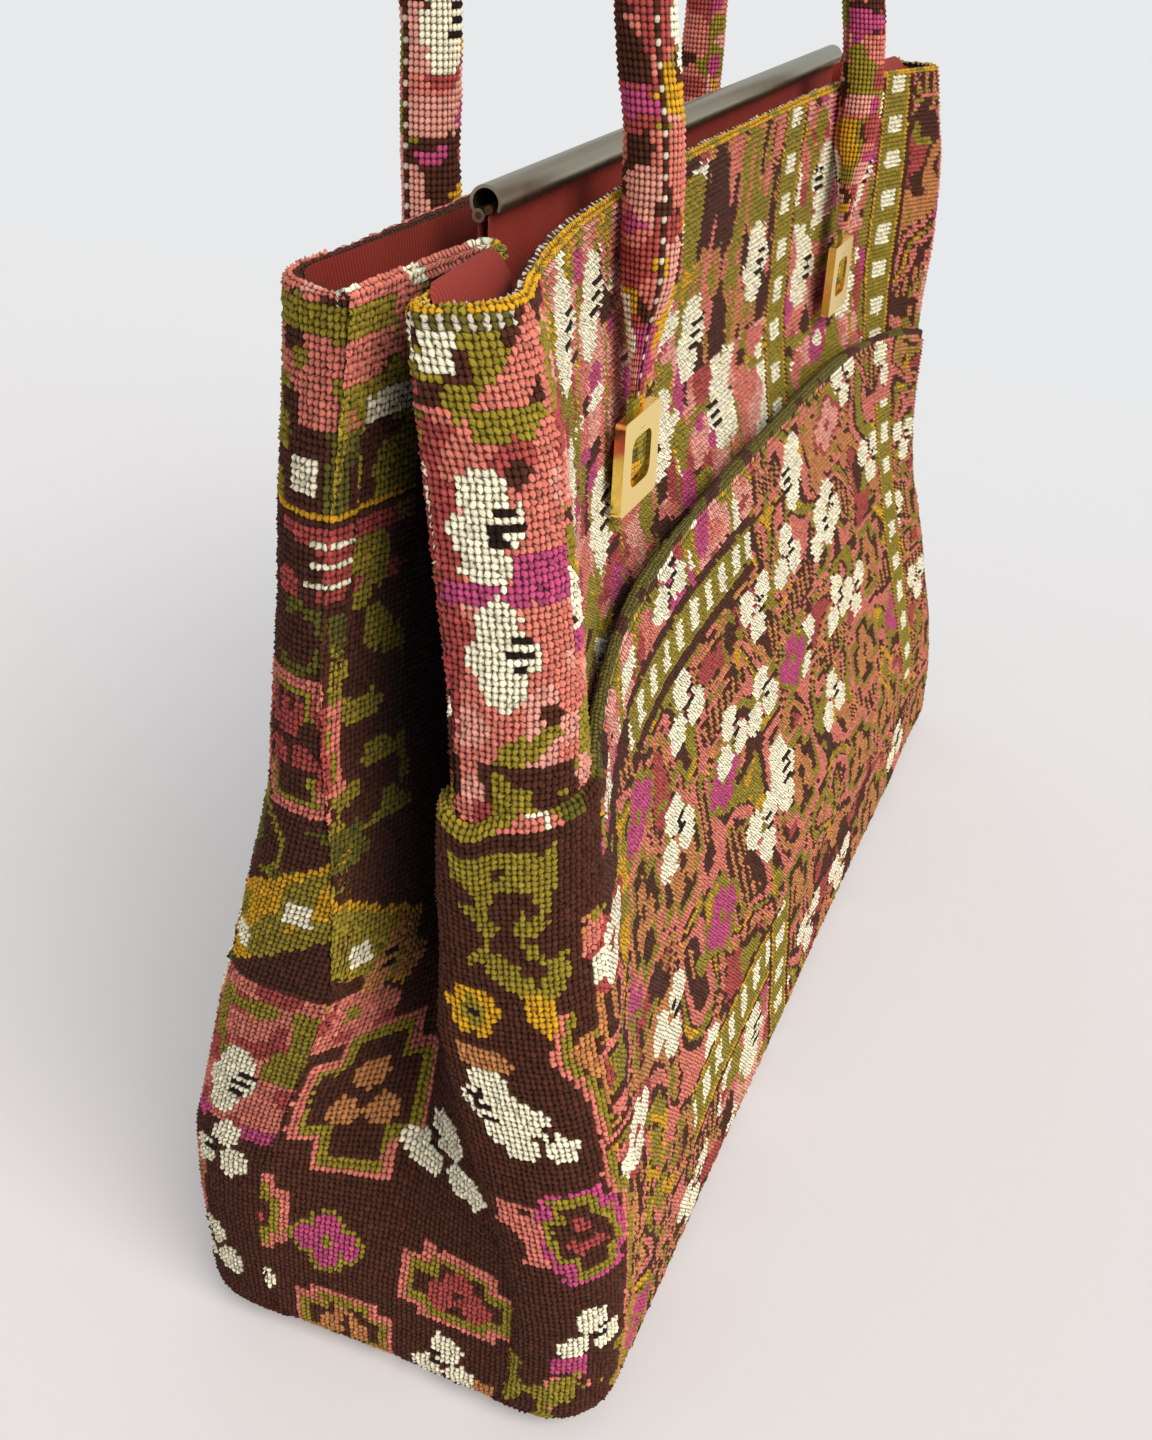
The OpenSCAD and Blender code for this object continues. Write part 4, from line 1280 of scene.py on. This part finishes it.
def handle(name, side, body, seed):
    x, y, z, way, pivot_z = handle_route(side)
    rows, cols = len(x), 2 * HANDLE_COLUMNS
    round_share = look(FLAT_END, (z - pivot_z) / FLAT_RUN)
    wide = lerp(TAB_WIDTH / 2, HANDLE_RADIUS, round_share)[:, None]
    thick = lerp(TONGUE / 2, HANDLE_RADIUS, round_share)[:, None]
    angle = 2 * math.pi * np.arange(cols) / cols
    pile = loop_heights(rows, cols, seed)
    ridge = 2 * SEAM_COLUMN
    pile[:, ridge:ridge + len(SEAM_RIDGE)] += SEAM_HIGH * np.array(SEAM_RIDGE)
    along, around = np.arange(rows)[:, None] * 1.05 + 0 * angle, 0 * angle + 40 * np.cos(angle)[None, :]
    grow = pile + (hills(along, around, 16, seed) - 0.5) * HANDLE_LUMP
    turned = angle + (side * SEAM_TURN - angle[ridge + len(SEAM_RIDGE) // 2])
    level, out = (wide + grow) * np.cos(turned), (thick + grow) * np.sin(turned)
    points = [x[:, None] - level * way[:, 1:], y[:, None] + out, z[:, None] + level * way[:, :1]]
    flat = np.stack(points, axis=2).reshape(-1, 3)
    quads = grid_quads(rows, cols, closed=True)
    j, i = (index.ravel() for index in np.indices((rows - 1, cols)))
    middle = np.stack([x, y, z], axis=1)[j]
    obj = new_mesh(name, flat, facing(flat, quads, flat[quads[:, 0]] - middle), "tapestry")
    chart = chart_handle(rows // 2, seed)
    shade = np.clip(np.random.default_rng(seed).normal(1, 0.09, chart.yarn.shape), 0.7, 1.3)[:, :, None]
    loops = np.minimum(j // 2, chart.yarn.shape[0] - 1), i // 2
    set_attribute(obj, "yarn", "FACE", (YARN_COLOURS[chart.yarn] * shade)[loops])
    set_loop_grid(obj, rows, cols)
    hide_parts(name.replace("_roll", ""))
    pivot = np.array(PIVOTS[body.replace("_bow", "_handle_drop")])
    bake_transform(obj)
    return obj


for word, side, seed in (("front", FRONT, 210), ("back", BACK, 230)):
    made = handle(f"{word}_handle_roll", side, f"{word}_bow", seed)
    print(f"{made.name}: {2 * len(made.data.polygons)} triangles")

# %% [markdown]
# The ends of the handles are sewn down behind the rings, and the cloth bulges a little through the rings'
# windows. A flat patch would look printed there, so each end is a small swollen grid of loops.

# %% handle ends
END_SWELL, END_INSET, END_GAP = 2.0, 1.9, 0.8


def handle_end(name, side):
    low, high = (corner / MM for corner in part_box(name))
    cols, rows = 2 * int((high.x - low.x) / COLUMN_PITCH) + 1, 2 * int((high.z - low.z) / ROW_PITCH) + 1
    u, v = np.meshgrid(np.linspace(0, 1, cols), np.linspace(0, 1, rows))
    x, z = lerp(low.x, high.x, u), lerp(low.z, high.z - END_GAP, v)
    face = low.y + END_INSET if side == FRONT else high.y - END_INSET
    swell = END_SWELL * (1 - (2 * u - 1) ** 4) * smooth(v * 5) * smooth((0.82 - v) * 5)
    y = face + side * (swell + loop_heights(rows, cols, 300) * 0.8)
    quads = grid_quads(rows, cols)
    points = np.stack([x, y, z], axis=2).reshape(-1, 3)
    obj = new_mesh(name + "_loops", points, quads if side == FRONT else quads[:, ::-1], "tapestry")
    yarn = np.where(hills(x, z, 6, 5) > 0.62, MUSTARD, np.where(hills(x, z, 5, 8) > 0.45, OLIVE, MOSS))
    set_attribute(obj, "yarn", "FACE", YARN_COLOURS[yarn][:-1, :-1])
    set_loop_grid(obj, rows, cols)
    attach(obj, "bag")
    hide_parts(name)
    return obj


for side, word in ((FRONT, "front"), (BACK, "back")):
    for end in ("left", "right"):
        print("handle end:", handle_end(f"{word}_{end}_tab", side).name)

# %% [markdown]
# ## Linings
# Red twill lines both open compartments. It climbs to the rim along the fold, where it puffs out as a
# soft tongue, and tucks under the hem along the panels. A cloth simulation could find such a puff, but it
# is hard to aim at one shape, so it is formed over the same plan as the walls.

# %% linings
LINING_ROWS, LINING_COLUMNS = 70, 190
LINING_SOFT = 1.2
FOLD_STEPS = 26
CREST = 0.93


def lengths(points, axis):
    """How far along a grid of points each one lies, in the way of that axis."""
    steps = np.cumsum(np.linalg.norm(np.diff(points, axis=axis), axis=2), axis=axis)
    return np.insert(steps, 0, 0, axis=axis)


def lining_mesh(node, points):
    """A smooth sheet of twill in place of a CAD node, from a grid of points."""
    rows, cols = points.shape[:2]
    obj = new_mesh(node + "_twill", points.reshape(-1, 3), grid_quads(rows, cols), "lining")
    along, up = lengths(points, 1), lengths(points, 0)
    along -= along[:, cols // 2:cols // 2 + 1]
    set_attribute(obj, "loop", "POINT", np.stack([along, up, 0 * up], axis=2))
    set_bake_map(obj, np.tile(np.arange(cols), rows), np.repeat(np.arange(rows), cols))
    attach(obj, "bag")
    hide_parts(node)
    wide, tall = np.ptp(along) * MM, np.ptp(up) * MM
    print(f"{obj.name}: flat {wide / MM:.0f} x {tall / MM:.0f} mm")


def lining_points(side):
    """A compartment's lining: along one fold, round the wall and along the other fold."""
    foot, slack = CLOTH + 5.0, CLOTH + 1.3
    panel_lip, fold_lip, puffed = (BAG_HEIGHT - 12, BAG_HEIGHT + 1.4, 7.0) if side == FRONT else \
        (BAG_HEIGHT - 0.5, BAG_HEIGHT - 4, 2.0)
    grid = []
    for w in 1 - (1 - np.linspace(0, 1, LINING_ROWS)) ** 1.6:
        lip = lambda x: lerp(panel_lip, BAG_HEIGHT - 2.5, smooth((np.abs(x) - HALF_LENGTH + 8) / 8))
        height = lambda x: foot + w * (lip(x) - foot)
        inward = -2.6 * smooth((w - 0.9) / 0.08) * (side == BACK)
        path = wall_stations(side, slack, lambda x, z: inward + 0 * x, height)
        f = np.linspace(1, 0.04, FOLD_STEPS)
        z = foot + w * (fold_lip - 7 * smooth((f - 0.7) / 0.3) - foot)
        v = np.minimum(share_at(side, HALF_LENGTH, z), 1)
        past = max(w - CREST, 0) / (1 - CREST)
        pillow = smooth((w - 0.8) / (CREST - 0.8)) * math.sqrt(max(0, 1 - past ** 2))
        puff = puffed * pillow * np.sin(np.pi * np.clip(f * 0.86 + 0.14, 0, 1)) ** 0.6
        puff = puff - 1.3 * np.exp(-((w - 0.945 - 0.03 * f) / 0.007) ** 2) * (side == FRONT)
        y = lerp(ridge_half(v), FOLD_NOSE, f) + 1.6 + puff
        x = end_x(v) - slack - f * fold(v)
        near, far = (np.stack([end * x, side * y, z], axis=1) for end in (LEFT, RIGHT))
        points, _ = evened(np.concatenate([near, path, far[::-1]]), LINING_SOFT)
        k, pick = np.arange(len(points)), np.linspace(0, len(points) - 1, LINING_COLUMNS)
        grid.append(np.stack([np.interp(pick, k, points[:, axis]) for axis in range(3)], axis=1))
    return np.array(grid)


for side, word in ((FRONT, "front"), (BACK, "back")):
    lining_mesh(f"{word}_lining", lining_points(side))

# %% [markdown]
# Two more walls of twill make the centre pouch. They hang from the rod and the wire in the tube, gathered
# in small ripples below it.

# %% centre pouch
POUCH_ROWS, POUCH_COLUMNS = 44, 110
POUCH_TOP = {"pouch_front_wall": 5.39, "pouch_back_wall": 7.58}
POUCH_TOP_REACH, POUCH_END_GAP, POUCH_LEAN = 140, 10, 6
RIPPLE = 0.7


def pouch_points(name, side):
    low, high = (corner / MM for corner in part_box(name))
    u = np.linspace(-1, 1, POUCH_COLUMNS)
    grid = []
    for k in np.linspace(0, 1, POUCH_ROWS):
        z = lerp(low.z, high.z, k)
        v = np.clip((z - CLOTH) / WALL_HEIGHT, 0, 1)
        y = POUCH_LEAN * v + side * HALF_DEPTH * look(POUCH, v)
        y = lerp(y, POUCH_TOP[name], smooth((k - 0.9) / 0.1))
        reach = lerp(end_x(v) - POUCH_END_GAP - fold(v), POUCH_TOP_REACH, smooth((k - 0.88) / 0.12))
        gathered = smooth((k - 0.5) * 2) * (1 - smooth((k - 0.93) / 0.07))
        ripple = RIPPLE * np.sin(u * 60 + 3 * np.sin(u * 9)) * gathered
        grid.append(np.stack([u * reach, y + ripple, np.full(POUCH_COLUMNS, z)], axis=1))
    return np.array(grid)


for side, name in ((FRONT, "pouch_front_wall"), (BACK, "pouch_back_wall")):
    lining_mesh(name, pouch_points(name, side))

# %% [markdown]
# ## Metal
# The tube, wires, rings and board are hard, and the CAD solids already have their true shapes. Modelling
# them again would only bring differences, so the solids themselves get a finish.

# %% finishes of the CAD pieces
for part in frame["record"]["subparts"]:
    node = frame["nodes"][part["node"]]
    if not node.hide_render:
        node.data.materials.clear()
        node.data.materials.append(MATERIALS[part["material_slot"]])
        print("finish:", part["node"], part["material_slot"])
for name in ("closure_tube", "hinge_wire", "front_rod"):
    frame["nodes"][name].data.shade_smooth()
    frame["nodes"][name].data.set_sharp_from_angle(angle=math.radians(35))

# %% [markdown]
# ## Studio
# The photo's ground is pale, warm in front and cool behind. Stronger lamps would wash out the bag too, so a
# wide floor has a faint glow of its own, which shifts from warm to cool and adds little light to the bag.

# %% floor
FLOOR_HALF = 9.0
floor_mesh = bpy.data.meshes.new("floor")
floor_mesh.from_pydata([(-FLOOR_HALF, -FLOOR_HALF, 0), (FLOOR_HALF, -FLOOR_HALF, 0),
                        (FLOOR_HALF, FLOOR_HALF, 0), (-FLOOR_HALF, FLOOR_HALF, 0)], [], [(0, 1, 2, 3)])
floor = bpy.data.objects.new("floor", floor_mesh)
bpy.context.scene.collection.objects.link(floor)
floor_paint, floor_shader, w = new_material("floor", Roughness=0.9, Specular_IOR_Level=0.2,
                                            Base_Color=(0.54, 0.52, 0.52, 1), Emission_Strength=0.22)
away = w.node("ShaderNodeSeparateXYZ", {0: position(w)}, 0) * 0.7 + 0.35
away = away.math("MINIMUM", away.math("MAXIMUM", away, 0), 1)
tint = {0: 1.0 - away * 0.16, 1: 0.9 + away * 0.1, 2: 0.86 + away * 0.22}
w.node("ShaderNodeCombineXYZ", tint).feeds(floor_shader, "Emission Color")
floor_mesh.materials.append(floor_paint)
print(f"floor: {2 * FLOOR_HALF:.0f} m square")

# %% [markdown]
# The light is soft and comes from one side, as from a window. An area lamp would have to be placed and
# sized; a sun with a wide angle lights the bag evenly from one direction, with soft shadows, and an even
# sky fills the rest.

# %% light

world = bpy.data.worlds.new("studio")
bpy.context.scene.world = world
world.use_nodes = True
sky = next(n for n in world.node_tree.nodes if n.type == "BACKGROUND")
sky.inputs["Color"].default_value = (0.93, 0.97, 1.0, 1)
sky.inputs["Strength"].default_value = 0.6

sun = bpy.data.lights.new("window", "SUN")
sun.energy, sun.angle, sun.color = 2.6, math.radians(40), (1.0, 0.96, 0.9)
window = bpy.data.objects.new("window", sun)
window.rotation_euler = Vector((0.34, 0.62, -0.71)).to_track_quat("-Z", "Y").to_euler()
bpy.context.scene.collection.objects.link(window)
print(f"light: window {sun.energy:.1f}, sky {sky.inputs['Strength'].default_value:.1f}")

# %% [markdown]
# The camera was fitted to the photo: it stands close to the near end, a little above the mouth, and looks
# down.

# %% camera
camera_data = bpy.data.cameras.new("camera")
camera_data.lens, camera_data.sensor_width = 39.17, 36
camera = bpy.data.objects.new("camera", camera_data)
forward, right = Vector((0.8108, 0.3063, -0.4988)), Vector((0.3772, -0.9250, 0.0451))
turned = Matrix((right, right.cross(forward), -forward)).transposed()
camera.matrix_world = Matrix.Translation((-0.4304, -0.1285, 0.3418)) @ turned.to_4x4()
bpy.context.scene.collection.objects.link(camera)
bpy.context.scene.camera = camera
bpy.context.scene.view_settings.view_transform = "Standard"
print("camera:", [round(x, 3) for x in camera.matrix_world.translation])
